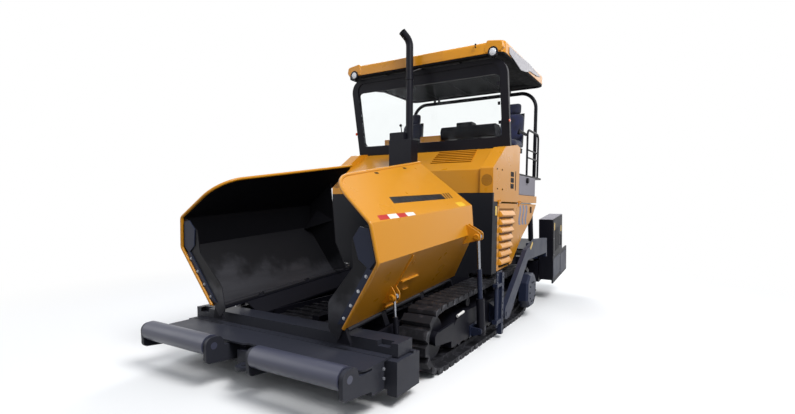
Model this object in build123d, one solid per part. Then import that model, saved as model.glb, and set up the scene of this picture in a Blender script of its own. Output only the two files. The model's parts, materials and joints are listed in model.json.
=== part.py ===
from build123d import *
import math
import os

os.makedirs("parts", exist_ok=True)

# Asphalt paver on tracks. Millimetres, +Z up, the front (hopper) faces -Y, the machine's left is +X.
# The origin is on the ground, under the middle of the overall box.

# ---------------------------------------------------------------------------------------------
# Driving sizes
# ---------------------------------------------------------------------------------------------
RUN = 0.3               # running gap between a pin and its hole, or a part and its seat
PLATE = 12.0            # common plate thickness

# Stations along the machine
ROLLER_Y = -3345.0      # axis of the push rollers
BEAM_Y = -2865.0        # front face of the front beam
BEAM_DEPTH = 300.0      # front beam, front to rear
HINGE_Y = -2925.0       # front end of the wing hinge line
BULKHEAD_Y = -555.0     # front face of the dark radiator housing
HOOD_REAR_Y = 505.0     # rear edge of the front hood
CHASSIS_REAR_Y = 1500.0  # rear end of the chassis plates
DECK_REAR_Y = 1790.0    # rear edge of the operator's deck

# Levels
CHASSIS_LOW_Z = 250.0
CHASSIS_TOP_Z = 760.0
BELT_LOW_Z = 1760.0     # yellow belt rail round the body
BELT_TOP_Z = 1870.0
DECK_Z = 2160.0         # operator's floor
BODY_X = 1322.0         # half width of the body sides
CHASSIS_X = 1000.0      # outer face of the chassis side plates
CHASSIS_WALL = 40.0

# Tracks: wheels as pin-line circles
TRACK_X = 1187.5        # middle of a track
SHOE_WIDTH = 325.0
SHOE_COUNT = 56
SHOE_REACH = 70.0       # from the pin line out to the pad's face
SHOE_ROOT = 22.0        # from the pin line out to the bottom of the gap between shoes
PAD_ROOT = 36.0         # where a pad stands on its shoe
SHOE_GAP = 14.0
PAD_INSET = 22.0
LINK_DEPTH = 40.0       # from the pin line in to the links' running face
LINK_WIDTH = 150.0
IDLER_Y = -1965.0
IDLER_PIN_R = 280.0
SPROCKET_Y = 765.0
SPROCKET_PIN_R = 320.0
SPROCKET_LIFT = 25.0    # the sprocket hangs this far above the idler's ground line
LAST_ROLLER_Y = 480.0
ROLLER_R = 80.0
ROLLER_COUNT = 7
ROLLER_PITCH = 300.0
SPROCKET_TEETH = 19

# Hopper wings: section from the hinge, x outwards and z up, in the wing's own sloping frame
HINGE_X = 870.0
HINGE_Z = 600.0
WING_SLOPE = 4.5        # degrees, the hinge line rises to the rear
CREASE_LOW = (424.0, 630.0)
CREASE_HIGH = (367.0, 953.0)
TOP_FRONT = 553.0       # width of the top panel at the front
TOP_REAR = 740.0        # and at the rear
WING_FOOT_LENGTH = 2200.0
WING_LOW_LENGTH = 1900.0
WING_HIGH_LENGTH = 1960.0
WING_TOP_LENGTH = 1780.0
WING_TOP_START = 0.0
WING_CORNER_R = 300.0
SKIN = 8.0
LINER = 6.0
RIM_R = 16.0
WING_FOLD = 35.0        # degrees that a wing folds down


# ---------------------------------------------------------------------------------------------
# Small tools
# ---------------------------------------------------------------------------------------------
def rounded_edges(corners, closed):
    """Edges through 3-D corners [(x, y, z, radius)]; a corner with a radius becomes an arc."""
    spots = [Vector(*corner[:3]) for corner in corners]
    radii = [corner[3] if len(corner) > 3 else 0.0 for corner in corners]
    count = len(corners)
    runs = []
    for i, (spot, radius) in enumerate(zip(spots, radii)):
        if radius == 0.0:
            runs.append((spot, None, spot))
            continue
        back = (spots[i - 1] - spot).normalized()
        ahead = (spots[(i + 1) % count] - spot).normalized()
        half = math.radians(back.get_angle(ahead)) / 2
        reach = radius / math.tan(half)
        middle = spot + (back + ahead).normalized() * (radius / math.sin(half) - radius)
        runs.append((spot + back * reach, middle, spot + ahead * reach))
    edges = []
    for i, (start, middle, end) in enumerate(runs):
        if middle is not None:
            edges.append(Edge.make_three_point_arc(start, middle, end))
        if i + 1 < count or closed:
            following = runs[(i + 1) % count][0]
            if (following - end).length > 1e-6:
                edges.append(Edge.make_line(end, following))
    return edges


def outline(corners):
    """A flat face through 3-D corners, rounded where a corner carries a radius."""
    return Face(Wire(rounded_edges(corners, closed=True)))


def slab(corners, push):
    """A flat outline pushed along a vector."""
    return Solid.extrude(outline(corners), Vector(*push))


def prism_x(points, x0, x1):
    """Side outline (y, z[, radius]) between two x."""
    return slab([(x0, *point) for point in points], (x1 - x0, 0, 0))


def prism_y(points, y0, y1):
    """Cross-section (x, z[, radius]) between two y."""
    return slab([(point[0], y0, *point[1:]) for point in points], (0, y1 - y0, 0))


def prism_z(points, z0, z1):
    """Plan outline (x, y[, radius]) between two z."""
    return slab([(point[0], point[1], z0, *point[2:]) for point in points], (0, 0, z1 - z0))


def block(x0, x1, y0, y1, z0, z1):
    """A plain box between its limits."""
    size = (x1 - x0, y1 - y0, z1 - z0)
    return Pos((x0 + x1) / 2, (y0 + y1) / 2, (z0 + z1) / 2) * Box(*size)


def bar(start, end, radius, hole=0.0):
    """A round bar or tube from one point to another."""
    start, end = Vector(*start), Vector(*end)
    along = end - start
    plane = Plane(origin=start, z_dir=along)
    body = Solid.make_cylinder(radius, along.length, plane)
    if hole > 0.0:
        body = body - Solid.make_cylinder(hole, along.length, plane)
    return body


def bent_tube(corners, radius):
    """A round tube along straight runs joined by arcs; corners are (x, y, z[, bend radius])."""
    path = Wire(rounded_edges(corners, closed=False))
    start = Plane(origin=path.position_at(0), z_dir=path.tangent_at(0))
    return Solid.sweep(Face(Wire.make_circle(radius, start)), path)


def joined(*pieces):
    """Several overlapping or touching solids as one."""
    flat = []
    for piece in pieces:
        flat.extend(piece if isinstance(piece, list) else [piece])
    return flat[0].fuse(*flat[1:]) if len(flat) > 1 else flat[0]


def apart(*pieces):
    """Several solids that don't touch, in one node."""
    solids = []
    for piece in pieces:
        for item in piece if isinstance(piece, list) else [piece]:
            solids.extend(item.solids())
    return Compound(children=solids)


def mirrored(shape):
    """The same piece on the machine's right."""
    return shape.mirror(Plane.YZ)


nodes = {}


def both_sides(name, left):
    """Stores a left piece and its mirror image as two nodes."""
    nodes[f"{name}_left"] = left
    nodes[f"{name}_right"] = mirrored(left)


# ---------------------------------------------------------------------------------------------
# Tracks
# ---------------------------------------------------------------------------------------------
IDLER_Z = IDLER_PIN_R + SHOE_REACH
SPROCKET_Z = SPROCKET_PIN_R + SHOE_REACH + SPROCKET_LIFT
ROLLER_Z = SHOE_REACH + LINK_DEPTH + RUN + ROLLER_R
# wheels that the pin line bends round, in order: y, z, radius
BELT_WHEELS = [
    (IDLER_Y, IDLER_Z, IDLER_PIN_R),
    (LAST_ROLLER_Y, ROLLER_Z, ROLLER_Z - SHOE_REACH),
    (SPROCKET_Y, SPROCKET_Z, SPROCKET_PIN_R),
]


def belt_runs():
    """The pin line as (kind, length, data): a line after each wheel, and each wheel's arc."""
    count = len(BELT_WHEELS)
    headings = []
    for i, (y0, z0, r0) in enumerate(BELT_WHEELS):
        y1, z1, r1 = BELT_WHEELS[(i + 1) % count]
        gap = math.hypot(y1 - y0, z1 - z0)
        headings.append(math.atan2(z1 - z0, y1 - y0) - math.asin((r1 - r0) / gap))
    runs = []
    for i, (y0, z0, r0) in enumerate(BELT_WHEELS):
        y1, z1, r1 = BELT_WHEELS[(i + 1) % count]
        turn_in, turn_out = headings[i - 1], headings[i]
        sweep_angle = (turn_out - turn_in) % (2 * math.pi)
        runs.append(("arc", r0 * sweep_angle, (y0, z0, r0, turn_in)))
        out_y, out_z = math.sin(turn_out), -math.cos(turn_out)
        start = (y0 + r0 * out_y, z0 + r0 * out_z)
        length = math.hypot(y1 + r1 * out_y - start[0], z1 + r1 * out_z - start[1])
        runs.append(("line", length, (*start, turn_out)))
    return runs


def belt_points(count):
    """Pins at even spacing along the pin line, as (y, z)."""
    runs = belt_runs()
    total = sum(run[1] for run in runs)
    pins = []
    for i in range(count):
        along = total * i / count
        for kind, length, data in runs:
            if along <= length:
                break
            along -= length
        if kind == "line":
            y, z, heading = data
            pins.append((y + along * math.cos(heading), z + along * math.sin(heading)))
        else:
            y, z, radius, heading = data
            heading += along / radius
            pins.append((y + radius * math.sin(heading), z - radius * math.cos(heading)))
    return pins


def track():
    """One fixed loop: links inside, and shoes with their pads in its outline."""
    pins = belt_points(SHOE_COUNT)
    outer, link_top, link_low = [], [], []
    # per shoe, from its front pin to its rear pin: how far in from the pin, and how far out
    shoe_corners = [(SHOE_GAP / 2, SHOE_ROOT), (SHOE_GAP / 2, PAD_ROOT), (PAD_INSET, SHOE_REACH)]
    for i, (y0, z0) in enumerate(pins):
        y1, z1 = pins[(i + 1) % SHOE_COUNT]
        pitch = math.hypot(y1 - y0, z1 - z0)
        along = ((y1 - y0) / pitch, (z1 - z0) / pitch)
        out = (along[1], -along[0])
        for inset, reach in shoe_corners:
            outer.append((y0 + along[0] * inset + out[0] * reach, z0 + along[1] * inset + out[1] * reach))
        for inset, reach in reversed(shoe_corners):
            outer.append((y1 - along[0] * inset + out[0] * reach, z1 - along[1] * inset + out[1] * reach))
        middle = ((y0 + y1) / 2, (z0 + z1) / 2)
        link_top.append((middle[0] + out[0] * SHOE_ROOT / 2, middle[1] + out[1] * SHOE_ROOT / 2))
        link_low.append((middle[0] - out[0] * LINK_DEPTH, middle[1] - out[1] * LINK_DEPTH))
    x0, x1 = TRACK_X - SHOE_WIDTH / 2, TRACK_X + SHOE_WIDTH / 2
    shoes = prism_x(outer, x0, x1) - prism_x(link_top, x0, x1)
    x0, x1 = TRACK_X - LINK_WIDTH / 2, TRACK_X + LINK_WIDTH / 2
    links = prism_x(link_top, x0, x1) - prism_x(link_low, x0, x1)
    return shoes.fuse(links)


both_sides("track", track())

FRAME_X0 = TRACK_X - 120.0
FRAME_X1 = TRACK_X + 120.0
FRAME_LOW_Z = 175.0
FRAME_TOP_Z = 500.0
TOOTH_DEPTH = 34.0
HUB_R = 70.0
CARRIER_R = 55.0
DRIVE_COVER_X = 1500.0
DRIVE_COVER_Y0 = 505.0
DRIVE_COVER_Y1 = 965.0
DRIVE_COVER_Z0 = 170.0
DRIVE_COVER_Z1 = 680.0
COVER_CUT = 120.0       # corner cuts of the drive cover
CLEAR_OF_TRACK = 12.0


def wheel_radius(pin_r):
    """Largest wheel that turns freely inside the links' flat running faces on a pin-line radius."""
    pitch = sum(run[1] for run in belt_runs()) / SHOE_COUNT
    half = math.asin(pitch / 2 / pin_r)
    return (pin_r * math.cos(half) - LINK_DEPTH) * math.cos(half) - RUN


IDLER_WHEEL_R = wheel_radius(IDLER_PIN_R)
SPROCKET_TIP_R = wheel_radius(SPROCKET_PIN_R)
SPROCKET_ROOT_R = SPROCKET_TIP_R - TOOTH_DEPTH


def track_frame():
    """Side beam with idler fork, idler, rollers, carrier rollers and sprocket, as one piece."""
    front = IDLER_Y + 300.0
    rear = SPROCKET_Y - 240.0
    beam = prism_x([
        (front, FRAME_LOW_Z), (rear - 120.0, FRAME_LOW_Z), (rear, FRAME_LOW_Z + 110.0), (rear, FRAME_TOP_Z),
        (front + 180.0, FRAME_TOP_Z), (front, FRAME_TOP_Z - 140.0),
    ], FRAME_X0, FRAME_X1)
    pieces = [beam]
    for x0, x1 in ((FRAME_X0, FRAME_X0 + 30.0), (FRAME_X1 - 30.0, FRAME_X1)):
        pieces.append(prism_x([
            (IDLER_Y - 70.0, IDLER_Z - 60.0, 40.0), (front + 60.0, IDLER_Z - 110.0), (front + 60.0, IDLER_Z + 90.0),
            (IDLER_Y - 70.0, IDLER_Z + 60.0, 40.0),
        ], x0, x1))
        pieces.append(prism_x([
            (rear - 60.0, SPROCKET_Z - 160.0), (SPROCKET_Y + 90.0, SPROCKET_Z - 90.0, 60.0),
            (SPROCKET_Y + 90.0, SPROCKET_Z + 90.0, 60.0), (rear - 60.0, SPROCKET_Z + 70.0),
        ], x0, x1))
    wheel_x0, wheel_x1 = TRACK_X - 45.0, TRACK_X + 45.0
    pieces.append(bar((wheel_x0, IDLER_Y, IDLER_Z), (wheel_x1, IDLER_Y, IDLER_Z), IDLER_WHEEL_R))
    pieces.append(bar((FRAME_X0, IDLER_Y, IDLER_Z), (FRAME_X1, IDLER_Y, IDLER_Z), HUB_R))
    for i in range(ROLLER_COUNT):
        y = LAST_ROLLER_Y - 150.0 - i * ROLLER_PITCH
        pieces.append(bar((TRACK_X - 70.0, y, ROLLER_Z), (TRACK_X + 70.0, y, ROLLER_Z), ROLLER_R))
        pieces.append(bar((FRAME_X0, y, ROLLER_Z), (FRAME_X1, y, ROLLER_Z), ROLLER_R / 2))
    teeth = []
    for i in range(SPROCKET_TEETH):
        for share, radius in ((0.0, SPROCKET_ROOT_R), (0.3, SPROCKET_TIP_R), (0.55, SPROCKET_TIP_R), (0.85, SPROCKET_ROOT_R)):
            turn = 2 * math.pi * (i + share) / SPROCKET_TEETH
            teeth.append((SPROCKET_Y + radius * math.cos(turn), SPROCKET_Z + radius * math.sin(turn)))
    pieces.append(prism_x(teeth, wheel_x0, wheel_x1))
    pieces.append(bar((FRAME_X0, SPROCKET_Y, SPROCKET_Z), (FRAME_X1, SPROCKET_Y, SPROCKET_Z), HUB_R * 2))
    return joined(pieces)


track_beam = track_frame()


def top_run_z(y):
    """Height of the links' running face on the top run, above the idler and the sprocket."""
    share = (y - IDLER_Y) / (SPROCKET_Y - IDLER_Y)
    return (1 - share) * (IDLER_Z + IDLER_PIN_R) + share * (SPROCKET_Z + SPROCKET_PIN_R) - LINK_DEPTH


def carrier_rollers():
    """Two small rollers on posts under the top run."""
    pieces = []
    for y in (IDLER_Y + 850.0, IDLER_Y + 1750.0):
        z = top_run_z(y) - CARRIER_R - 1.0
        pieces.append(bar((TRACK_X - 60.0, y, z), (TRACK_X + 60.0, y, z), CARRIER_R))
        pieces.append(bar((FRAME_X0, y, z), (TRACK_X, y, z), CARRIER_R / 2))
        pieces.append(block(FRAME_X0, FRAME_X0 + 40.0, y - 50.0, y + 50.0, FRAME_TOP_Z - 10.0, z + 20.0))
    return pieces


both_sides("track_frame", joined(track_beam, carrier_rollers()))


def drive_cover():
    """Housing of the final drive, outside the sprocket, with cut corners and a bevelled face."""
    y0, y1, z0, z1 = DRIVE_COVER_Y0, DRIVE_COVER_Y1, DRIVE_COVER_Z0, DRIVE_COVER_Z1
    x0 = TRACK_X + SHOE_WIDTH / 2 + CLEAR_OF_TRACK
    face = [
        (y0 + COVER_CUT, z0), (y1 - COVER_CUT, z0), (y1, z0 + COVER_CUT), (y1, z1 - COVER_CUT),
        (y1 - COVER_CUT, z1), (y0 + COVER_CUT, z1), (y0, z1 - COVER_CUT), (y0, z0 + COVER_CUT),
    ]
    shell = prism_x(face, x0, DRIVE_COVER_X)
    shell = chamfer(shell.faces().sort_by(Axis.X)[-1].edges(), 30.0)
    neck = bar((FRAME_X1 + RUN, SPROCKET_Y, SPROCKET_Z), (x0 + 20.0, SPROCKET_Y, SPROCKET_Z), HUB_R * 2)
    return joined(shell, neck)


cover = drive_cover()
nodes["drive_covers"] = apart(cover, mirrored(cover))


# ---------------------------------------------------------------------------------------------
# Chassis, front beam, push beam and push rollers
# ---------------------------------------------------------------------------------------------
CONVEYOR_X0 = 70.0
CONVEYOR_X1 = 600.0
TUNNEL_GAP = 20.0       # conveyor to tunnel wall
TUNNEL_TOP_Z = 500.0
TUNNEL_WALL = 20.0
CONVEYOR_Y0 = -2330.0
CONVEYOR_Y1 = 1440.0
CONVEYOR_TOP_Z = 440.0
CONVEYOR_LOW_Z = 300.0
SLAT_COUNT = 26
SHAFT_R = 32.0
MOUNT_STATIONS = (-1300.0, 150.0)   # y of the track frame mounts
MOUNT_LENGTH = 220.0
PIN_R = 16.0

# Wing rams, in the wing frame: eye centres in the section, and the foot pins' x and height above ground
REAR_EYE = (530.0, 614.0)
REAR_EYE_Y = -1195.0        # machine station of the rear ram's eye
REAR_FOOT_X = 1420.0
REAR_FOOT_Z = 250.0
FRONT_EYE = (212.0, 206.0)
FRONT_EYE_Y = -2430.0
FRONT_FOOT_X = 1085.0
FRONT_FOOT_Z = 350.0
WING_FRAME = Location((HINGE_X, HINGE_Y, HINGE_Z), (WING_SLOPE, 0, 0))
SLOPE = math.radians(WING_SLOPE)


def wing_station(y, z):
    """Distance along the hinge line at which a point z above it lies at station y of the machine."""
    return (y - HINGE_Y) / math.cos(SLOPE) + z * math.tan(SLOPE)


def foot_point(x, height, along):
    """A foot pin's centre in the wing frame, from its machine x and height, at a station of the hinge line."""
    return x - HINGE_X, along, (height - HINGE_Z - along * math.sin(SLOPE)) / math.cos(SLOPE)


rear_along = wing_station(REAR_EYE_Y, REAR_EYE[1])
front_along = wing_station(FRONT_EYE_Y, FRONT_EYE[1])
rear_eye = (REAR_EYE[0], rear_along, REAR_EYE[1])
front_eye = (FRONT_EYE[0], front_along, FRONT_EYE[1])
rear_foot = foot_point(REAR_FOOT_X, REAR_FOOT_Z, rear_along)
front_foot = foot_point(FRONT_FOOT_X, FRONT_FOOT_Z, front_along)
FRONT_EAR = 28.0            # half gap between the ears at the front ram's foot


def chassis():
    """Side plates, a centre spine, tunnel walls, belly plate, cross walls, engine bed, track mounts."""
    front = BEAM_Y + BEAM_DEPTH
    rear = CHASSIS_REAR_Y
    inner = CHASSIS_X - CHASSIS_WALL
    spine = CONVEYOR_X0 - TUNNEL_GAP
    pieces = [
        block(-inner, inner, front, rear - 40.0, CHASSIS_LOW_Z, CHASSIS_LOW_Z + PLATE),
        block(-spine, spine, CONVEYOR_Y0, rear, CHASSIS_LOW_Z, TUNNEL_TOP_Z),
        block(-inner, inner, BULKHEAD_Y, rear, CHASSIS_TOP_Z - 40.0, CHASSIS_TOP_Z),
    ]
    wall_x = CONVEYOR_X1 + TUNNEL_GAP
    half = [
        prism_x([
            (front, CHASSIS_LOW_Z), (rear, CHASSIS_LOW_Z + 60.0), (rear, CHASSIS_TOP_Z),
            (BULKHEAD_Y, CHASSIS_TOP_Z), (BULKHEAD_Y, CHASSIS_TOP_Z - 100.0), (front, 520.0),
        ], inner, CHASSIS_X),
        block(wall_x, wall_x + TUNNEL_WALL, CONVEYOR_Y0, rear, CHASSIS_LOW_Z, TUNNEL_TOP_Z),
        block(wall_x, inner + 5.0, BULKHEAD_Y, BULKHEAD_Y + 40.0, CHASSIS_LOW_Z, CHASSIS_TOP_Z),
        block(wall_x, inner + 5.0, rear - 40.0, rear, CHASSIS_LOW_Z + 60.0, CHASSIS_TOP_Z),
    ]
    for y in MOUNT_STATIONS:
        half.append(block(CHASSIS_X - 5.0, FRAME_X0 - RUN, y, y + MOUNT_LENGTH, FRAME_LOW_Z + 90.0, FRAME_TOP_Z - 60.0))
    foot_x, foot_y, foot_z = front_foot
    half.append(WING_FRAME * bar((foot_x, foot_y - FRONT_EAR - 14.0, foot_z), (foot_x, foot_y + FRONT_EAR + 14.0, foot_z), PIN_R))
    for y in (foot_y - FRONT_EAR - 14.0, foot_y + FRONT_EAR):
        half.append(WING_FRAME * block(CHASSIS_X - 5.0 - HINGE_X, foot_x + 30.0, y, y + 14.0, foot_z - 50.0, foot_z + 34.0))
    return joined(pieces, half, [mirrored(piece) for piece in half])


nodes["main_frame"] = chassis()

BEAM_X = 1400.0
BEAM_LOW_Z = 160.0
BEAM_TOP_Z = 430.0
CHEEK_LOW_Z = 110.0
CHEEK_X = 1300.0
STEP_X = 1360.0
STEP_Y = -2790.0
STEP_TOP_Z = 535.0
POCKET = (1150.0, 1290.0, 60.0, 45.0)   # x0, x1, depth front to rear, depth down, in the step's top


def front_beam():
    """Heavy cross beam under the hopper's front, with a stepped top and deeper ends."""
    rear = BEAM_Y + BEAM_DEPTH
    body = block(-CHEEK_X - 1.0, CHEEK_X + 1.0, BEAM_Y, rear - 30.0, BEAM_LOW_Z, BEAM_TOP_Z)
    half = [
        block(CHEEK_X, BEAM_X, BEAM_Y, rear + 60.0, CHEEK_LOW_Z, BEAM_TOP_Z - 20.0),
        block(CHASSIS_X - 200.0, BEAM_X, rear - 40.0, rear, CHEEK_LOW_Z + 60.0, BEAM_TOP_Z),
    ]
    step = block(-STEP_X, STEP_X, STEP_Y, rear - 0.0, BEAM_TOP_Z - 10.0, STEP_TOP_Z)
    apron = prism_x([
        (rear - 5.0, BEAM_TOP_Z), (rear - 5.0, STEP_TOP_Z), (CONVEYOR_Y0 - 20.0, CONVEYOR_TOP_Z - 20.0),
        (CONVEYOR_Y0 - 20.0, CONVEYOR_TOP_Z - 40.0),
    ], -CONVEYOR_X1, CONVEYOR_X1)
    pocket_x0, pocket_x1, pocket_y, pocket_z = POCKET
    pocket = block(pocket_x0, pocket_x1, STEP_Y - 1.0, STEP_Y + pocket_y, STEP_TOP_Z - pocket_z, STEP_TOP_Z + 1.0)
    beam = joined(body, half, [mirrored(piece) for piece in half], step, apron)
    return beam - pocket - mirrored(pocket)


nodes["front_beam"] = front_beam()

PUSH_X = 1300.0
PUSH_Y = -3075.0
PUSH_LOW_Z = 180.0
PUSH_TOP_Z = 410.0
LIP = 16.0              # thickness of the top plate over the push beam
LIP_Y = -3195.0
ROLLER_Z_PUSH = 413.0
PUSH_R = 95.0
PUSH_ROLLER_X0 = 308.0
PUSH_ROLLER_X1 = 1258.0
JOURNAL_R = 32.0
BRACKET = 40.0          # thickness of a roller bracket
BRACKET_GAP = 5.0       # roller end to bracket
HOOK_R = 26.0
HOOK_Z = 230.0


def push_beam():
    """Cross beam that carries the push rollers in four brackets, with a lip and a tow eye."""
    beam = block(-PUSH_X, PUSH_X, PUSH_Y, BEAM_Y - 40.0, PUSH_LOW_Z, PUSH_TOP_Z)
    tongue = block(-260.0, 260.0, BEAM_Y - 60.0, BEAM_Y, PUSH_LOW_Z + 10.0, PUSH_TOP_Z - 20.0)
    lip = prism_z([
        (-PUSH_X, LIP_Y, 60.0), (-70.0, LIP_Y), (-40.0, LIP_Y + 30.0), (120.0, LIP_Y + 30.0), (150.0, LIP_Y),
        (PUSH_X, LIP_Y, 60.0), (PUSH_X, BEAM_Y - RUN), (-PUSH_X, BEAM_Y - RUN),
    ], PUSH_TOP_Z, PUSH_TOP_Z + LIP)
    half = []
    for x0 in (PUSH_ROLLER_X0 - BRACKET_GAP - BRACKET, PUSH_ROLLER_X1 + BRACKET_GAP):
        ear = prism_x([
            (ROLLER_Y - 80.0, ROLLER_Z_PUSH + 80.0, 70.0), (ROLLER_Y - 80.0, ROLLER_Z_PUSH - 150.0, 40.0),
            (PUSH_Y + 5.0, ROLLER_Z_PUSH - 190.0), (PUSH_Y + 5.0, PUSH_TOP_Z - 15.0),
            (ROLLER_Y + 110.0, PUSH_TOP_Z - 15.0), (ROLLER_Y + 80.0, ROLLER_Z_PUSH + 80.0, 60.0),
        ], x0, x0 + BRACKET)
        hole = bar((x0 - 1.0, ROLLER_Y, ROLLER_Z_PUSH), (x0 + BRACKET + 1.0, ROLLER_Y, ROLLER_Z_PUSH), JOURNAL_R + RUN)
        half.append(ear - hole)
    end_x = PUSH_ROLLER_X1 + BRACKET_GAP + BRACKET
    half.append(block(PUSH_X - 60.0, end_x, PUSH_Y - 10.0, PUSH_Y + 20.0, PUSH_LOW_Z + 30.0, PUSH_TOP_Z - 20.0))
    nose = block(-160.0, 160.0, PUSH_Y - 110.0, PUSH_Y + 5.0, PUSH_LOW_Z + 20.0, PUSH_TOP_Z - 60.0)
    hook = prism_z([
        (-90.0, PUSH_Y - 60.0), (90.0, PUSH_Y - 60.0), (70.0, PUSH_Y - 230.0, 60.0), (-70.0, PUSH_Y - 230.0, 60.0),
    ], HOOK_Z - 15.0, HOOK_Z + 15.0)
    eye_y = PUSH_Y - 165.0
    hook = hook - bar((0, eye_y, HOOK_Z - 20.0), (0, eye_y, HOOK_Z + 20.0), HOOK_R)
    return joined(beam, tongue, lip, half, [mirrored(piece) for piece in half], nose, hook)


nodes["push_beam"] = push_beam()


def push_roller():
    """Roller with recessed ends on two journals."""
    roller = bar((PUSH_ROLLER_X0, ROLLER_Y, ROLLER_Z_PUSH), (PUSH_ROLLER_X1, ROLLER_Y, ROLLER_Z_PUSH), PUSH_R)
    recess_depth = 18.0
    for x0, x1 in ((PUSH_ROLLER_X0 - 1.0, PUSH_ROLLER_X0 + recess_depth), (PUSH_ROLLER_X1 - recess_depth, PUSH_ROLLER_X1 + 1.0)):
        ring = bar((x0, ROLLER_Y, ROLLER_Z_PUSH), (x1, ROLLER_Y, ROLLER_Z_PUSH), PUSH_R - 15.0, JOURNAL_R + 20.0)
        roller = roller - ring
    reach = BRACKET_GAP + BRACKET
    journal = bar((PUSH_ROLLER_X0 - reach, ROLLER_Y, ROLLER_Z_PUSH), (PUSH_ROLLER_X1 + reach, ROLLER_Y, ROLLER_Z_PUSH), JOURNAL_R)
    return joined(roller, journal)


both_sides("push_roller", push_roller())


# ---------------------------------------------------------------------------------------------
# Hopper: wings, liners, fixed floor and conveyors
# ---------------------------------------------------------------------------------------------
HINGE_TUBE_R = 26.0
HINGE_PIN_R = 14.0
KNUCKLE_GAP = 4.0
KNUCKLES = ((66.0, 560.0), (640.0, 1300.0), (1380.0, 2060.0))   # y from the hinge's front end
FLAP_T = 10.0
LINER_START = RIM_R + 1.0
END_PLATE_WIDTH = 300.0
HEX_T = 14.0
EYE_PIN_R = 14.0
EYE_CLEAR = 14.0        # how far a ram's rod eye may drift from its pin


def unit(a, b):
    """Unit direction from a to b in the section, and its inward normal (towards the hopper)."""
    dx, dz = b[0] - a[0], b[1] - a[1]
    length = math.hypot(dx, dz)
    return (dx / length, dz / length), (-dz / length, dx / length), length


TOP_WAY = unit(CREASE_HIGH, (-50.0, 1316.0))[0]


def panel(start, way, inward, corners, depth0, depth1):
    """A flat panel: corners (along the section, along the hinge[, radius]) between two depths."""
    placed = []
    for corner in corners:
        x = start[0] + way[0] * corner[0] + inward[0] * depth0
        z = start[1] + way[1] * corner[0] + inward[1] * depth0
        placed.append((x, corner[1], z, *corner[2:]))
    push = depth1 - depth0
    return slab(placed, (inward[0] * push, 0, inward[1] * push))


def wing_panels(depth0, depth1, trim, start, foot):
    """The three panels of a wing between two depths; trim shortens them at the creases."""
    low_way, low_in, low_length = unit((0.0, 0.0), CREASE_LOW)
    mid_way, mid_in, mid_length = unit(CREASE_LOW, CREASE_HIGH)
    top_in = (-TOP_WAY[1], TOP_WAY[0])
    return [
        panel((0.0, 0.0), low_way, low_in, [
            (foot, start), (foot, WING_FOOT_LENGTH), (low_length - trim, WING_LOW_LENGTH), (low_length - trim, start),
        ], depth0, depth1),
        panel(CREASE_LOW, mid_way, mid_in, [
            (trim, start), (trim, WING_LOW_LENGTH), (mid_length - trim, WING_HIGH_LENGTH), (mid_length - trim, start),
        ], depth0, depth1),
        panel(CREASE_HIGH, TOP_WAY, top_in, [
            (trim, start), (trim, WING_HIGH_LENGTH), (TOP_REAR - start, WING_TOP_LENGTH, 40.0),
            (TOP_FRONT - start, WING_TOP_START + start, WING_CORNER_R - start),
        ], depth0, depth1),
    ]


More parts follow.
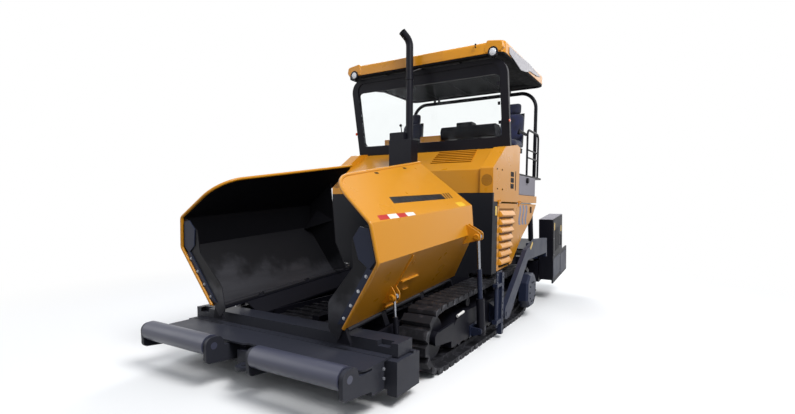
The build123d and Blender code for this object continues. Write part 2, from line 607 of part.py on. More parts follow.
def wing():
    """Yellow skin of a wing with its rolled rim, hinge knuckles, ribs and ram lugs."""
    pieces = wing_panels(0.0, SKIN, 0.0, 0.0, HINGE_TUBE_R - 6.0)
    low_way, low_in, low_length = unit((0.0, 0.0), CREASE_LOW)
    top_in = (-TOP_WAY[1], TOP_WAY[0])

    def top_corner(reach, y, *radius):
        return (CREASE_HIGH[0] + TOP_WAY[0] * reach, y, CREASE_HIGH[1] + TOP_WAY[1] * reach, *radius)

    rim_start = (low_way[0] * 40.0, 0.0, low_way[1] * 40.0)
    pieces.append(bent_tube([
        rim_start, (CREASE_LOW[0], 0.0, CREASE_LOW[1], 60.0), (CREASE_HIGH[0], 0.0, CREASE_HIGH[1], 60.0),
        top_corner(TOP_FRONT, WING_TOP_START, WING_CORNER_R), top_corner(TOP_REAR, WING_TOP_LENGTH),
    ], RIM_R))
    for y0, y1 in KNUCKLES:
        pieces.append(bar((0, y0, 0), (0, y1, 0), HINGE_TUBE_R))
    # outward ribs on the lower panel: station along the hinge, from and to along the section, height
    for y, along0, along1, height in ((620.0, 60.0, 700.0, 22.0), (1500.0, 60.0, 700.0, 22.0)):
        pieces.append(slab([
            (low_way[0] * along0, y, low_way[1] * along0),
            (low_way[0] * along1, y, low_way[1] * along1),
            (low_way[0] * (along1 - 60.0) - low_in[0] * height, y, low_way[1] * (along1 - 60.0) - low_in[1] * height),
            (low_way[0] * (along0 + 60.0) - low_in[0] * height, y, low_way[1] * (along0 + 60.0) - low_in[1] * height),
        ], (0, 10.0, 0)))
    # ram lugs: eye centre (x, z), station of the ram, foot of the lug on the skin as two (x, z)
    mid_way = unit(CREASE_LOW, CREASE_HIGH)[0]
    sunk = 3.0
    for eye, y, foot, ear in (
        (REAR_EYE, rear_along, [
            (CREASE_LOW[0] + mid_way[0] * 90.0 - sunk, CREASE_LOW[1] + mid_way[1] * 90.0), (CREASE_LOW[0] - sunk, CREASE_LOW[1]),
            (CREASE_LOW[0] - low_way[0] * 110.0 - sunk, CREASE_LOW[1] - low_way[1] * 110.0),
        ], 34.0),
        (FRONT_EYE, front_along, [
            (low_way[0] * 360.0 - sunk, low_way[1] * 360.0), (low_way[0] * 170.0 - sunk, low_way[1] * 170.0),
        ], FRONT_EAR),
    ):
        out_x = eye[0] + 26.0
        for y0 in (y - ear - 12.0, y + ear):
            pieces.append(prism_y([
                *foot, (eye[0] - 6.0, eye[1] - 30.0, 8.0), (out_x, eye[1] - 18.0, 14.0), (out_x, eye[1] + 26.0, 14.0),
            ], y0, y0 + 12.0))
        pieces.append(bar((eye[0], y - ear - 4.0, eye[1]), (eye[0], y + ear + 4.0, eye[1]), EYE_PIN_R))
    body = joined(pieces)
    body = body - bar((0, -50.0, 0), (0, WING_FOOT_LENGTH + 50.0, 0), HINGE_PIN_R + RUN)
    return WING_FRAME * body


both_sides("hopper_wing", wing())


def wing_liner():
    """Black inner plates of a wing, its front end plate, its bolted flap strip and a rear gusset."""
    half_low = math.radians(46.0) / 2
    pieces = wing_panels(SKIN, SKIN + LINER, SKIN * math.tan(half_low) + 1.0, LINER_START, HINGE_TUBE_R + 14.0)
    low_way, low_in, low_length = unit((0.0, 0.0), CREASE_LOW)
    depth = SKIN + 1.0

    def inside(along, inward=0.0):
        return (low_way[0] * along + low_in[0] * (depth + inward), low_way[1] * along + low_in[1] * (depth + inward))

    mid_way, mid_in, mid_length = unit(CREASE_LOW, CREASE_HIGH)

    def mid_inside(along, inward=0.0):
        return (CREASE_LOW[0] + mid_way[0] * along + mid_in[0] * (depth + inward),
                CREASE_LOW[1] + mid_way[1] * along + mid_in[1] * (depth + inward))

    end_plate = prism_y([
        inside(40.0, 8.0), (-60.0, -90.0, 20.0), (-170.0, -10.0, 80.0), (-150.0, 250.0, 120.0),
        (mid_inside(0.0, END_PLATE_WIDTH * 0.9)), mid_inside(mid_length * 0.7, END_PLATE_WIDTH * 0.75),
        mid_inside(mid_length - 12.0, 60.0), mid_inside(mid_length - 12.0), mid_inside(6.0), inside(low_length - 8.0),
    ], LINER_START, LINER_START + FLAP_T)
    hexagon = prism_y([
        mid_inside(20.0, 20.0), mid_inside(-40.0, 100.0), mid_inside(60.0, 190.0), mid_inside(240.0, 200.0),
        mid_inside(mid_length - 10.0, 110.0), mid_inside(mid_length - 40.0, 20.0),
    ], LINER_START - HEX_T, LINER_START)
    strip = prism_y([
        inside(80.0, 12.0), inside(low_length - 90.0, 12.0), inside(low_length - 100.0, 65.0), inside(30.0, 65.0),
    ], LINER_START - HEX_T, LINER_START)
    return WING_FRAME * joined(pieces, end_plate, hexagon, strip)


both_sides("wing_liner", wing_liner())

FLOOR_T = 20.0
HINGE_EAR_R = 18.0
HINGE_FRONT = 30.0
HINGE_REAR = 2100.0
FLOOR_X1 = 836.0


def hopper_floor():
    """Fixed floor between the wings: sloping sides with the hinge pins on them."""
    length = WING_FOOT_LENGTH
    inner_x = CONVEYOR_X1 + TUNNEL_GAP + TUNNEL_WALL + RUN - HINGE_X
    outer_x = FLOOR_X1 - HINGE_X
    half = [prism_y([
        (outer_x, -10.0), (inner_x, -150.0), (inner_x, -150.0 - FLOOR_T), (outer_x + 6.0, -10.0 - FLOOR_T),
    ], 380.0, length - 20.0)]
    # thin edge strip that carries the hinge ears
    half.append(prism_y([
        (outer_x, -10.0 - FLOOR_T), (outer_x, -10.0), (outer_x - 20.0, -10.0), (outer_x - 20.0, -10.0 - FLOOR_T),
    ], 40.0, length - 20.0))
    starts = [HINGE_FRONT] + [y1 + KNUCKLE_GAP for y0, y1 in KNUCKLES]
    ends = [y0 - KNUCKLE_GAP for y0, y1 in KNUCKLES] + [HINGE_REAR]
    for y0, y1 in zip(starts, ends):
        half.append(prism_y([
            (-HINGE_EAR_R, 0.0), (outer_x - 6.0, -20.0), (outer_x - 60.0, -120.0), (60.0, -120.0), (HINGE_EAR_R, 0.0),
        ], y0, y1))
        half.append(bar((0, y0, 0), (0, y1, 0), HINGE_EAR_R))
    half.append(bar((0, HINGE_FRONT, 0), (0, HINGE_REAR, 0), HINGE_PIN_R))
    left = WING_FRAME * joined(half)
    return apart(left, mirrored(left))


nodes["hopper_floor"] = hopper_floor()


def conveyors():
    """Two fixed conveyor loops, each a thin band with cross slats."""
    left = []
    pitch = (CONVEYOR_Y1 - CONVEYOR_Y0) / SLAT_COUNT
    band = prism_x([
        (CONVEYOR_Y0 - 0.0, CONVEYOR_LOW_Z, 60.0), (CONVEYOR_Y1, CONVEYOR_LOW_Z, 60.0),
        (CONVEYOR_Y1, CONVEYOR_TOP_Z, 60.0), (CONVEYOR_Y0, CONVEYOR_TOP_Z, 60.0),
    ], CONVEYOR_X0, CONVEYOR_X1)
    left.append(band)
    shaft_z = (CONVEYOR_LOW_Z + CONVEYOR_TOP_Z) / 2
    for y in (CONVEYOR_Y0 + 70.0, CONVEYOR_Y1 - 70.0):
        x0, x1 = CONVEYOR_X0 - TUNNEL_GAP + RUN, CONVEYOR_X1 + TUNNEL_GAP - RUN
        left.append(bar((x0, y, shaft_z), (x1, y, shaft_z), SHAFT_R))
    for i in range(1, SLAT_COUNT):
        y = CONVEYOR_Y0 + i * pitch
        left.append(block(CONVEYOR_X0 + 6.0, CONVEYOR_X1 - 6.0, y - 18.0, y + 18.0, CONVEYOR_TOP_Z - 5.0, CONVEYOR_TOP_Z + 22.0))
    left = joined(left)
    return apart(left, mirrored(left))


nodes["conveyors"] = conveyors()


# ---------------------------------------------------------------------------------------------
# Wing rams: barrel, sleeve and rod on a foot pin; the rod's eye stays open round the wing's pin
# ---------------------------------------------------------------------------------------------
def ram_piece(foot, eye, start, end, radius, hole=0.0):
    """A round piece on the line from foot to eye, between two distances from the foot."""
    (x0, y0, z0), (x1, y1, z1) = foot, eye
    length = math.dist(foot, eye)
    way = ((x1 - x0) / length, (y1 - y0) / length, (z1 - z0) / length)
    a = tuple(c + w * start for c, w in zip(foot, way))
    b = tuple(c + w * end for c, w in zip(foot, way))
    return bar(a, b, radius, hole)


def ram_barrel(foot, eye, low, top, radius, bore, width, axis):
    """Barrel with a necked ear on the foot pin, open at the top for the next stage."""
    body = ram_piece(foot, eye, low, top, radius)
    if low > 0.0:
        body = body.fuse(ram_piece(foot, eye, 0.0, low + 1.0, width / 2 - 2.0))
    body = body - ram_piece(foot, eye, max(low, 0.0) + 40.0, top + 5.0, bore)
    half = width / 2
    a = tuple(c - h * half for c, h in zip(foot, axis))
    b = tuple(c + h * half for c, h in zip(foot, axis))
    ear = bar(a, b, radius * 0.8)
    hole = bar(tuple(c - h * 200.0 for c, h in zip(foot, axis)), tuple(c + h * 200.0 for c, h in zip(foot, axis)), PIN_R + RUN)
    return joined(body, ear) - hole


def ram_rod(foot, eye, start, radius, eye_r, hole_r, width, axis):
    """Rod with an eye at its end."""
    length = math.dist(foot, eye)
    body = ram_piece(foot, eye, start, length - hole_r - 2.0, radius)
    half = width / 2
    a = tuple(c - h * half for c, h in zip(eye, axis))
    b = tuple(c + h * half for c, h in zip(eye, axis))
    ring = bar(a, b, eye_r)
    rod = joined(body, ring)
    long_a = tuple(c - h * 200.0 for c, h in zip(eye, axis))
    long_b = tuple(c + h * 200.0 for c, h in zip(eye, axis))
    return rod - bar(long_a, long_b, hole_r)


ALONG_Y = (0.0, 1.0, 0.0)
ALONG_X = (1.0, 0.0, 0.0)
REAR_BARREL_R = 48.0
REAR_SLEEVE_R = 30.0
REAR_ROD_R = 19.0
REAR_BARREL_LOW = -60.0
REAR_BARREL_TOP = 380.0
REAR_SLEEVE_LOW = 245.0
REAR_SLEEVE_TOP = 727.0
SLEEVE_FLOOR = 20.0     # closed end of the sleeve
REAR_ROD_LOW = 460.0
FRONT_BARREL_R = 26.0
FRONT_ROD_R = 14.0
FRONT_BARREL_LOW = -34.0
FRONT_BARREL_TOP = 300.0
FRONT_ROD_LOW = 200.0
EYE_WALL = 12.0
STAGE_GAP = 0.5

eye_hole = EYE_PIN_R + EYE_CLEAR

both_sides("rear_ram_barrel", WING_FRAME * ram_barrel(
    rear_foot, rear_eye, REAR_BARREL_LOW, REAR_BARREL_TOP, REAR_BARREL_R, REAR_SLEEVE_R + STAGE_GAP, 2 * REAR_BARREL_R, ALONG_Y))
sleeve = ram_piece(rear_foot, rear_eye, REAR_SLEEVE_LOW, REAR_SLEEVE_TOP, REAR_SLEEVE_R)
sleeve = sleeve - ram_piece(
    rear_foot, rear_eye, REAR_SLEEVE_LOW + SLEEVE_FLOOR, REAR_SLEEVE_TOP + 5.0, REAR_ROD_R + STAGE_GAP)
both_sides("rear_ram_sleeve", WING_FRAME * sleeve)
both_sides("rear_ram_rod", WING_FRAME * ram_rod(
    rear_foot, rear_eye, REAR_ROD_LOW, REAR_ROD_R, eye_hole + EYE_WALL, eye_hole, 40.0, ALONG_Y))
both_sides("front_ram_barrel", WING_FRAME * ram_barrel(
    front_foot, front_eye, FRONT_BARREL_LOW, FRONT_BARREL_TOP, FRONT_BARREL_R, FRONT_ROD_R + STAGE_GAP, 40.0, ALONG_Y))
both_sides("front_ram_rod", WING_FRAME * ram_rod(
    front_foot, front_eye, FRONT_ROD_LOW, FRONT_ROD_R, eye_hole + EYE_WALL, eye_hole, 30.0, ALONG_Y))


def ram_foot_brackets():
    """Brackets from the track frames out to the rear rams' foot pins."""
    x, y, z = rear_foot
    inner = FRAME_X1 + RUN - HINGE_X
    ear = REAR_BARREL_R + 4.0
    pieces = [bar((x, y - ear - 24.0, z), (x, y + ear + 24.0, z), PIN_R)]
    for y0 in (y - ear - 20.0, y + ear):
        pieces.append(prism_y([
            (inner, z - 60.0), (x - 60.0, z - 60.0), (x, z - 34.0, 20.0), (x + 34.0, z - 34.0, 30.0),
            (x + 34.0, z + 34.0, 30.0), (x - 60.0, z + 40.0), (inner, z + 40.0),
        ], y0, y0 + 20.0))
    pieces.append(block(inner, inner + 12.0, y - ear - 40.0, y + ear + 40.0, z - 70.0, z + 60.0))
    left = WING_FRAME * joined(pieces)
    return left - block(FRAME_X0, FRAME_X1 + RUN, -2000.0, 0.0, 0.0, 600.0)


ram_bracket = ram_foot_brackets()


# ---------------------------------------------------------------------------------------------
# Body: radiator housing, engine, belt, hood, doors, deck
# ---------------------------------------------------------------------------------------------
HOUSING_LOW_Z = 660.0
HOUSING_REAR_Y = -350.0
DOOR_T = 30.0
DOOR_Y0 = -375.0
DOOR_LOW_Z = 840.0
DOOR_TOP_Z = 1738.0
DOOR_HINGE_X = 1330.0
DOOR_HINGE_Z = 1750.0
DOOR_HINGE_R = 9.0
DOOR_PIN_R = 4.5
DOOR_HINGE_LENGTH = 60.0
DOOR_HINGES = (DOOR_Y0 + 20.0, 510.0)   # front end of each hinge
BODY_REAR_Y = 1475.0


def radiator_housing():
    """Dark box behind the hopper: front wall, side returns, top, open below over the conveyors."""
    top = BELT_TOP_Z
    wall = [
        (-BODY_X, top), (-BODY_X, HOUSING_LOW_Z + 160.0), (-CHASSIS_X, HOUSING_LOW_Z + 160.0), (-CHASSIS_X, CHASSIS_TOP_Z + RUN),
        (CHASSIS_X, CHASSIS_TOP_Z + RUN), (CHASSIS_X, HOUSING_LOW_Z + 160.0), (BODY_X, HOUSING_LOW_Z + 160.0), (BODY_X, top),
    ]
    pieces = [prism_y(wall, BULKHEAD_Y, BULKHEAD_Y + 40.0)]
    for side in (-1, 1):
        x0, x1 = sorted((side * (BODY_X - 12.0), side * BODY_X))
        pieces.append(block(x0, x1, BULKHEAD_Y, HOUSING_REAR_Y - 30.0, HOUSING_LOW_Z + 160.0, BELT_LOW_Z - 2.0))
    return joined(pieces)


nodes["radiator_housing"] = radiator_housing()

ENGINE = (-470.0, 470.0, -350.0, 1000.0, CHASSIS_TOP_Z, 1650.0)
nodes["engine_block"] = block(*ENGINE)
BELT_T = 36.0
POST = 60.0


def body_belt():
    """Yellow belt round the body, the deck plate under the operator's floor, and rear posts."""
    belt = block(-BODY_X, BODY_X, BULKHEAD_Y + 40.0 + RUN, BODY_REAR_Y, BELT_LOW_Z, BELT_TOP_Z)
    belt = belt - block(-BODY_X + BELT_T, BODY_X - BELT_T, BULKHEAD_Y + 45.0 + 60.0, BODY_REAR_Y - BELT_T, BELT_LOW_Z - 1.0, BELT_TOP_Z - PLATE)
    half = []
    for y in DOOR_HINGES:
        y0, y1 = y - 3.0, y + DOOR_HINGE_LENGTH + 3.0
        half.append(bar((DOOR_HINGE_X, y0 - 8.0, DOOR_HINGE_Z), (DOOR_HINGE_X, y1 + 8.0, DOOR_HINGE_Z), DOOR_PIN_R))
        for start in (y0 - 10.0, y1):
            half.append(bar((DOOR_HINGE_X, start, DOOR_HINGE_Z), (DOOR_HINGE_X, start + 10.0, DOOR_HINGE_Z), DOOR_HINGE_R - 1.0))
            half.append(block(BODY_X - 10.0, DOOR_HINGE_X + 6.0, start, start + 10.0, DOOR_HINGE_Z, BELT_LOW_Z + 20.0))
    return joined(belt, half, [mirrored(piece) for piece in half])


nodes["body_belt"] = body_belt()


def body_frame():
    """Dark frame inside the doors: rear wall, posts and sills that carry the belt on the chassis."""
    pieces = [
        block(-CHASSIS_X, CHASSIS_X, BODY_REAR_Y - 60.0, BODY_REAR_Y - 20.0, CHASSIS_TOP_Z + RUN, BELT_LOW_Z - RUN),
    ]
    half = []
    post_front = HOUSING_REAR_Y - 95.0
    for y in (post_front, 480.0, BODY_REAR_Y - BELT_T - POST - 4.0):
        half.append(block(CHASSIS_X - POST, CHASSIS_X, y, y + POST, CHASSIS_TOP_Z + RUN, BELT_TOP_Z - PLATE - RUN))
    half.append(block(CHASSIS_X - POST, CHASSIS_X, post_front, BODY_REAR_Y - 20.0, CHASSIS_TOP_Z + RUN, CHASSIS_TOP_Z + 40.0))
    return joined(pieces, half, [mirrored(piece) for piece in half])


nodes["body_frame"] = body_frame()

# side door outline, y and z, anticlockwise from the front bottom; the arch clears the screed arm
DOOR_OUTLINE = [
    (DOOR_Y0, DOOR_LOW_Z, 20.0), (225.0, 880.0, 40.0), (725.0, 1250.0, 60.0), (1245.0, 1530.0, 60.0),
    (1460.0, DOOR_TOP_Z, 10.0), (DOOR_Y0, DOOR_TOP_Z, 10.0),
]
LOUVRE_COUNT = 7
LOUVRE_LOW_Z = 900.0
LOUVRE_TOP_Z = 1650.0
LOUVRE_Y0 = -310.0
LOUVRE_REAR = ((130.0, LOUVRE_LOW_Z), (300.0, LOUVRE_TOP_Z))   # rear edge of the louvre field, low and high


def side_door():
    """Side door: one thick panel with a louvre field of sloping blades, and hinge tubes on top."""
    door = prism_x(DOOR_OUTLINE, BODY_X - DOOR_T, BODY_X)
    field = [
        (LOUVRE_Y0, LOUVRE_LOW_Z - 20.0), (LOUVRE_REAR[0][0], LOUVRE_LOW_Z - 20.0),
        (LOUVRE_REAR[1][0], LOUVRE_TOP_Z + 20.0), (LOUVRE_Y0, LOUVRE_TOP_Z + 20.0),
    ]
    door = door - prism_x(field, BODY_X - DOOR_T - 1.0, BODY_X + 1.0)
    pitch = (LOUVRE_TOP_Z - LOUVRE_LOW_Z) / LOUVRE_COUNT
    blades = []
    for i in range(LOUVRE_COUNT):
        z = LOUVRE_LOW_Z + i * pitch
        share = (z + pitch / 2 - LOUVRE_LOW_Z) / (LOUVRE_TOP_Z - LOUVRE_LOW_Z)
        rear = LOUVRE_REAR[0][0] + share * (LOUVRE_REAR[1][0] - LOUVRE_REAR[0][0])
        blades.append(prism_y([
            (BODY_X - DOOR_T, z + pitch + 4.0), (BODY_X - DOOR_T, z + pitch - 12.0), (BODY_X - 8.0, z + 20.0),
            (BODY_X - 2.0, z + 4.0), (BODY_X, z + 14.0), (BODY_X, z + 30.0), (BODY_X - DOOR_T + 12.0, z + pitch + 4.0),
        ], LOUVRE_Y0 - 2.0, rear + 2.0))
    hinges = []
    for y in DOOR_HINGES:
        y1 = y + DOOR_HINGE_LENGTH
        hinges.append(bar((DOOR_HINGE_X, y, DOOR_HINGE_Z), (DOOR_HINGE_X, y1, DOOR_HINGE_Z), DOOR_HINGE_R))
        hinges.append(block(DOOR_HINGE_X - 14.0, DOOR_HINGE_X + 2.0, y, y1, DOOR_TOP_Z - 40.0, DOOR_HINGE_Z - 2.0))
    pin_hole = bar((DOOR_HINGE_X, DOOR_Y0, DOOR_HINGE_Z), (DOOR_HINGE_X, BODY_REAR_Y, DOOR_HINGE_Z), DOOR_PIN_R + RUN)
    return joined(door, blades, hinges) - pin_hole


both_sides("side_door", side_door())

HOOD_LOW_Z = BELT_TOP_Z + RUN
CHEEK_X0 = 1145.0
CHEEK_PROUD = 40.0
# hood side outline, y and z, from the front bottom
HOOD_SIDE = [
    (BULKHEAD_Y, HOOD_LOW_Z), (HOOD_REAR_Y, HOOD_LOW_Z), (HOOD_REAR_Y + 25.0, 2560.0, 20.0),
    (385.0, 2580.0, 60.0), (-95.0, 2500.0, 60.0), (BULKHEAD_Y, 2186.0, 20.0),
]
HOOD_MIDDLE = [
    (BULKHEAD_Y + CHEEK_PROUD, HOOD_LOW_Z), (HOOD_REAR_Y, HOOD_LOW_Z), (HOOD_REAR_Y + 20.0, 2540.0),
    (140.0, 2530.0), (BULKHEAD_Y + CHEEK_PROUD, 2170.0),
]
HOOD_WALL = 20.0


def front_hood():
    """Yellow hood: two deep cheeks and a sloping middle with a recessed louvre field."""
    cheek = prism_x(HOOD_SIDE, CHEEK_X0, BODY_X)
    middle = prism_x(HOOD_MIDDLE, -CHEEK_X0 - 1.0, CHEEK_X0 + 1.0)
    hood = joined(middle, cheek, mirrored(cheek))
    hollow = prism_x([
        (BULKHEAD_Y + CHEEK_PROUD + HOOD_WALL, HOOD_LOW_Z - 1.0), (HOOD_REAR_Y - HOOD_WALL, HOOD_LOW_Z - 1.0),
        (HOOD_REAR_Y - HOOD_WALL, 2500.0), (150.0, 2490.0), (BULKHEAD_Y + CHEEK_PROUD + HOOD_WALL, 2130.0),
    ], -BODY_X + HOOD_WALL, BODY_X - HOOD_WALL)
    hood = hood - hollow
    # three square vents and a tall slot behind them in each cheek
    cuts = []
    for z in (1960.0, 2040.0, 2120.0):
        cuts.append(block(BODY_X - 30.0, BODY_X + 5.0, 165.0, 225.0, z, z + 50.0))
    cuts.append(block(BODY_X - 30.0, BODY_X + 5.0, 330.0, 350.0, 1930.0, 2200.0))
    for cut in cuts:
        hood = hood - cut - mirrored(cut)
    return hood


nodes["front_hood"] = front_hood()


def cheek_z(y):
    """Height of a cheek's top at a station behind its steep front."""
    (y1, z1), (y0, z0) = HOOD_SIDE[3][:2], HOOD_SIDE[4][:2]
    return z0 + (z1 - z0) * (y - y0) / (y1 - y0)


SIDE_BOX = (1000.0, BODY_X, 540.0, 1375.0, BELT_TOP_Z + RUN, DECK_Z)
side_box = block(*SIDE_BOX)
side_box = chamfer(side_box.faces().sort_by(Axis.X)[-1].edges(), 8.0)
nodes["side_boxes"] = apart(side_box, mirrored(side_box))

DECK_T = 30.0
DECK_WALL = 40.0        # walls of the carrier under the deck
DECK_Y0 = HOOD_REAR_Y + 30.0


def deck():
    """Operator's deck on a carrier that is open below, with a rear step."""
    x1 = SIDE_BOX[0] - RUN
    y1 = BODY_REAR_Y - 20.0
    low = BELT_TOP_Z + RUN
    carrier = block(-x1, x1, DECK_Y0, y1, low, DECK_Z + DECK_T)
    inside_x = x1 - DECK_WALL
    hollow = block(-inside_x, inside_x, DECK_Y0 + DECK_WALL, y1 - DECK_WALL, low - 1.0, DECK_Z)
    rib = block(-DECK_WALL / 2, DECK_WALL / 2, DECK_Y0, y1, low, DECK_Z + DECK_T)
    top = block(-BODY_X + 20.0, BODY_X - 20.0, DECK_Y0, DECK_REAR_Y, DECK_Z + RUN, DECK_Z + DECK_T)
    return joined(carrier - hollow, rib, top)


FLOOR_TOP = DECK_Z + DECK_T

# deck furniture: boxes x0, x1, y0, y1, z0, z1
console_boxes = [
    (-80.0, 880.0, 570.0, 840.0, 2790.0, 2960.0),
    (300.0, 560.0, 590.0, 830.0, 2950.0, 3020.0),
    (250.0, 600.0, 620.0, 790.0, FLOOR_TOP, 2800.0),
]
console = joined([block(*limits) for limits in console_boxes])
nodes["console"] = console
nodes["deck_cabinet"] = block(-560.0, -140.0, 600.0, 900.0, FLOOR_TOP, 2840.0)

SEAT_X = 950.0
SEAT_Y = 1010.0
SEAT_WIDTH = 450.0
SEAT_Z = 2620.0


def seat():
    """Plain padded seat: cushion, back and headrest."""
    half = SEAT_WIDTH / 2
    cushion = prism_x([
        (SEAT_Y - 240.0, SEAT_Z, 30.0), (SEAT_Y + 220.0, SEAT_Z, 20.0), (SEAT_Y + 220.0, SEAT_Z + 110.0),
        (SEAT_Y - 240.0, SEAT_Z + 130.0, 50.0),
    ], SEAT_X - half, SEAT_X + half)
    back = prism_x([
        (SEAT_Y + 120.0, SEAT_Z + 60.0, 30.0), (SEAT_Y + 230.0, SEAT_Z + 60.0, 30.0), (SEAT_Y + 300.0, SEAT_Z + 570.0, 40.0),
        (SEAT_Y + 190.0, SEAT_Z + 590.0, 40.0),
    ], SEAT_X - half + 15.0, SEAT_X + half - 15.0)
    head = prism_x([
        (SEAT_Y + 200.0, SEAT_Z + 570.0, 20.0), (SEAT_Y + 300.0, SEAT_Z + 560.0, 20.0), (SEAT_Y + 315.0, SEAT_Z + 750.0, 40.0),
        (SEAT_Y + 225.0, SEAT_Z + 760.0, 40.0),
    ], SEAT_X - 140.0, SEAT_X + 140.0)
    return joined(cushion, back, head)


both_sides("seat", seat())


def seat_base():
    """Pedestal with a slide frame under a seat."""
    column = block(SEAT_X - 130.0, SEAT_X + 130.0, SEAT_Y - 130.0, SEAT_Y + 130.0, FLOOR_TOP, SEAT_Z - 60.0)
    frame = block(SEAT_X - 190.0, SEAT_X + 190.0, SEAT_Y - 200.0, SEAT_Y + 200.0, SEAT_Z - 60.0, SEAT_Z - RUN)
    return joined(column, frame)


base = seat_base()
nodes["platform_deck"] = joined(deck(), base, mirrored(base))


# ---------------------------------------------------------------------------------------------
# Exhaust
# ---------------------------------------------------------------------------------------------
STACK_X = -20.0
STACK_Y = -330.0
STACK_R = 55.0
STACK_BEND_Z = 4020.0   # where the pipe turns out to its mouth
EXHAUST_BOX_Y0 = -470.0
EXHAUST_BOX_Y1 = -150.0


def hood_z(y):
    """Height of the hood's middle slope at a station."""
    y0, z0 = HOOD_MIDDLE[4][0], HOOD_MIDDLE[4][1]
    y1, z1 = HOOD_MIDDLE[3][0], HOOD_MIDDLE[3][1]
    return z0 + (z1 - z0) * (y - y0) / (y1 - y0)


def exhaust():
    """Silencer box that stands on the hood's slope, and the tall stack with a turned-out mouth."""
    y0, y1 = EXHAUST_BOX_Y0, EXHAUST_BOX_Y1
    gap = 1.0
    wide = prism_x([(y0, hood_z(y0) + gap), (y1, hood_z(y1) + gap), (y1, 2660.0), (y0, 2660.0)], STACK_X - 320.0, STACK_X + 80.0)
    tall = block(STACK_X - 320.0, STACK_X - 105.0, y0, y1 - 60.0, 2600.0, 2790.0)
    pipe = bent_tube([
        (STACK_X - 150.0, STACK_Y, 2725.0), (STACK_X, STACK_Y, 2725.0, 75.0), (STACK_X, STACK_Y, STACK_BEND_Z, 140.0),
        (STACK_X - 70.0, STACK_Y - 170.0, STACK_BEND_Z + 120.0),
    ], STACK_R)
    mouth = bent_tube([
        (STACK_X, STACK_Y, 3200.0), (STACK_X, STACK_Y, STACK_BEND_Z, 140.0),
        (STACK_X - 74.0, STACK_Y - 180.0, STACK_BEND_Z + 127.0),
    ], STACK_R - 5.0)
    collar = bar((STACK_X, STACK_Y, 3480.0), (STACK_X, STACK_Y, 3520.0), STACK_R + 6.0)
    return joined(wide, tall, pipe, collar) - mouth


nodes["exhaust"] = exhaust()


# ---------------------------------------------------------------------------------------------
# Canopy with its front frame and rear hoop
# ---------------------------------------------------------------------------------------------
ROOF_X = 1295.0
ROOF_Y0 = -205.0
ROOF_Y1 = 1825.0
ROOF_LOW_Z = 3744.0
ROOF_TOP_Z = 3865.0
ROOF_WALL = 40.0
LINER_LOW_Z = 3690.0
LINER_LIP = 35.0
FRAME_LEAN = 10.6       # degrees forward
FRAME_X = 1307.0
FRAME_FOOT_Y = 142.0
FRAME_BAR = 112.0
FRAME_T = 60.0
LOWER_BAR = 130.0
HOOP_X = 1190.0
HOOP_Y = 1705.0
HOOP_R = 30.0
HOOP_TOP_Z = 3640.0


def roof():
    """Yellow roof shell with bevelled edges, raised front corners with lamp recesses, hollow below."""
    lower = prism_z([
        (-ROOF_X, ROOF_Y0, 80.0), (ROOF_X, ROOF_Y0, 80.0), (ROOF_X, ROOF_Y1, 120.0), (-ROOF_X, ROOF_Y1, 120.0),
    ], ROOF_LOW_Z, ROOF_TOP_Z)
    lower = chamfer(lower.faces().sort_by(Axis.Z)[-1].edges(), 30.0)
    pods = []
    for side in (-1, 1):
        pod = prism_y([
            (side * (ROOF_X - 400.0), ROOF_TOP_Z - 30.0), (side * (ROOF_X - 360.0), ROOF_TOP_Z + 25.0, 20.0),
            (side * (ROOF_X - 40.0), ROOF_TOP_Z + 25.0, 40.0), (side * (ROOF_X - 2.0), ROOF_TOP_Z - 60.0),
            (side * (ROOF_X - 2.0), ROOF_LOW_Z), (side * (ROOF_X - 380.0), ROOF_LOW_Z),
        ], ROOF_Y0 - 20.0, ROOF_Y0 + 420.0)
        pods.append(pod)
    shell = joined(lower, pods)
    shell = shell - block(-ROOF_X + ROOF_WALL, ROOF_X - ROOF_WALL, ROOF_Y0 + ROOF_WALL, ROOF_Y1 - ROOF_WALL, ROOF_LOW_Z - 1.0, ROOF_TOP_Z - 25.0)
    for side in (-1, 1):
        shell = shell - bar((side * LAMP_X, ROOF_Y0 - 30.0, LAMP_Z), (side * LAMP_X, ROOF_Y0 + 30.0, LAMP_Z), LAMP_R + 14.0)
    return shell


LAMP_X = 1150.0
LAMP_Z = 3795.0
LAMP_R = 58.0
nodes["canopy_roof"] = roof()


def liner_corners(inset, front_r, rear_r):
    """Plan outline of the roof, set in by a distance."""
    x, y0, y1 = ROOF_X - inset, ROOF_Y0 + inset, ROOF_Y1 - inset
    return [(-x, y0, front_r), (x, y0, front_r), (x, y1, rear_r), (-x, y1, rear_r)]


def liner():
    """Black ceiling under the roof, with a lip all round."""
    pan = prism_z(liner_corners(ROOF_WALL + RUN, 60.0, 90.0), LINER_LOW_Z, ROOF_LOW_Z + 20.0)
    hollow = prism_z(liner_corners(ROOF_WALL + LINER_LIP, 40.0, 70.0), LINER_LOW_Z - 1.0, ROOF_LOW_Z - 10.0)
    return pan - hollow


nodes["canopy_liner"] = liner()
lamp = bar((LAMP_X, ROOF_Y0 - 14.0, LAMP_Z), (LAMP_X, ROOF_Y0 + 29.5, LAMP_Z), LAMP_R)
nodes["roof_lamps"] = apart(lamp, mirrored(lamp))

FRAME_SEAT = 0.9        # foot of the frame above the hood's cheeks, which slope a little less
FRAME_FOOT_Z = cheek_z(FRAME_FOOT_Y) + FRAME_SEAT
FRAME_PLANE = Location((0, FRAME_FOOT_Y, FRAME_FOOT_Z), (FRAME_LEAN, 0, 0))
FRAME_HEIGHT = (LINER_LOW_Z - RUN - FRAME_FOOT_Z) / math.cos(math.radians(FRAME_LEAN)) - 6.0


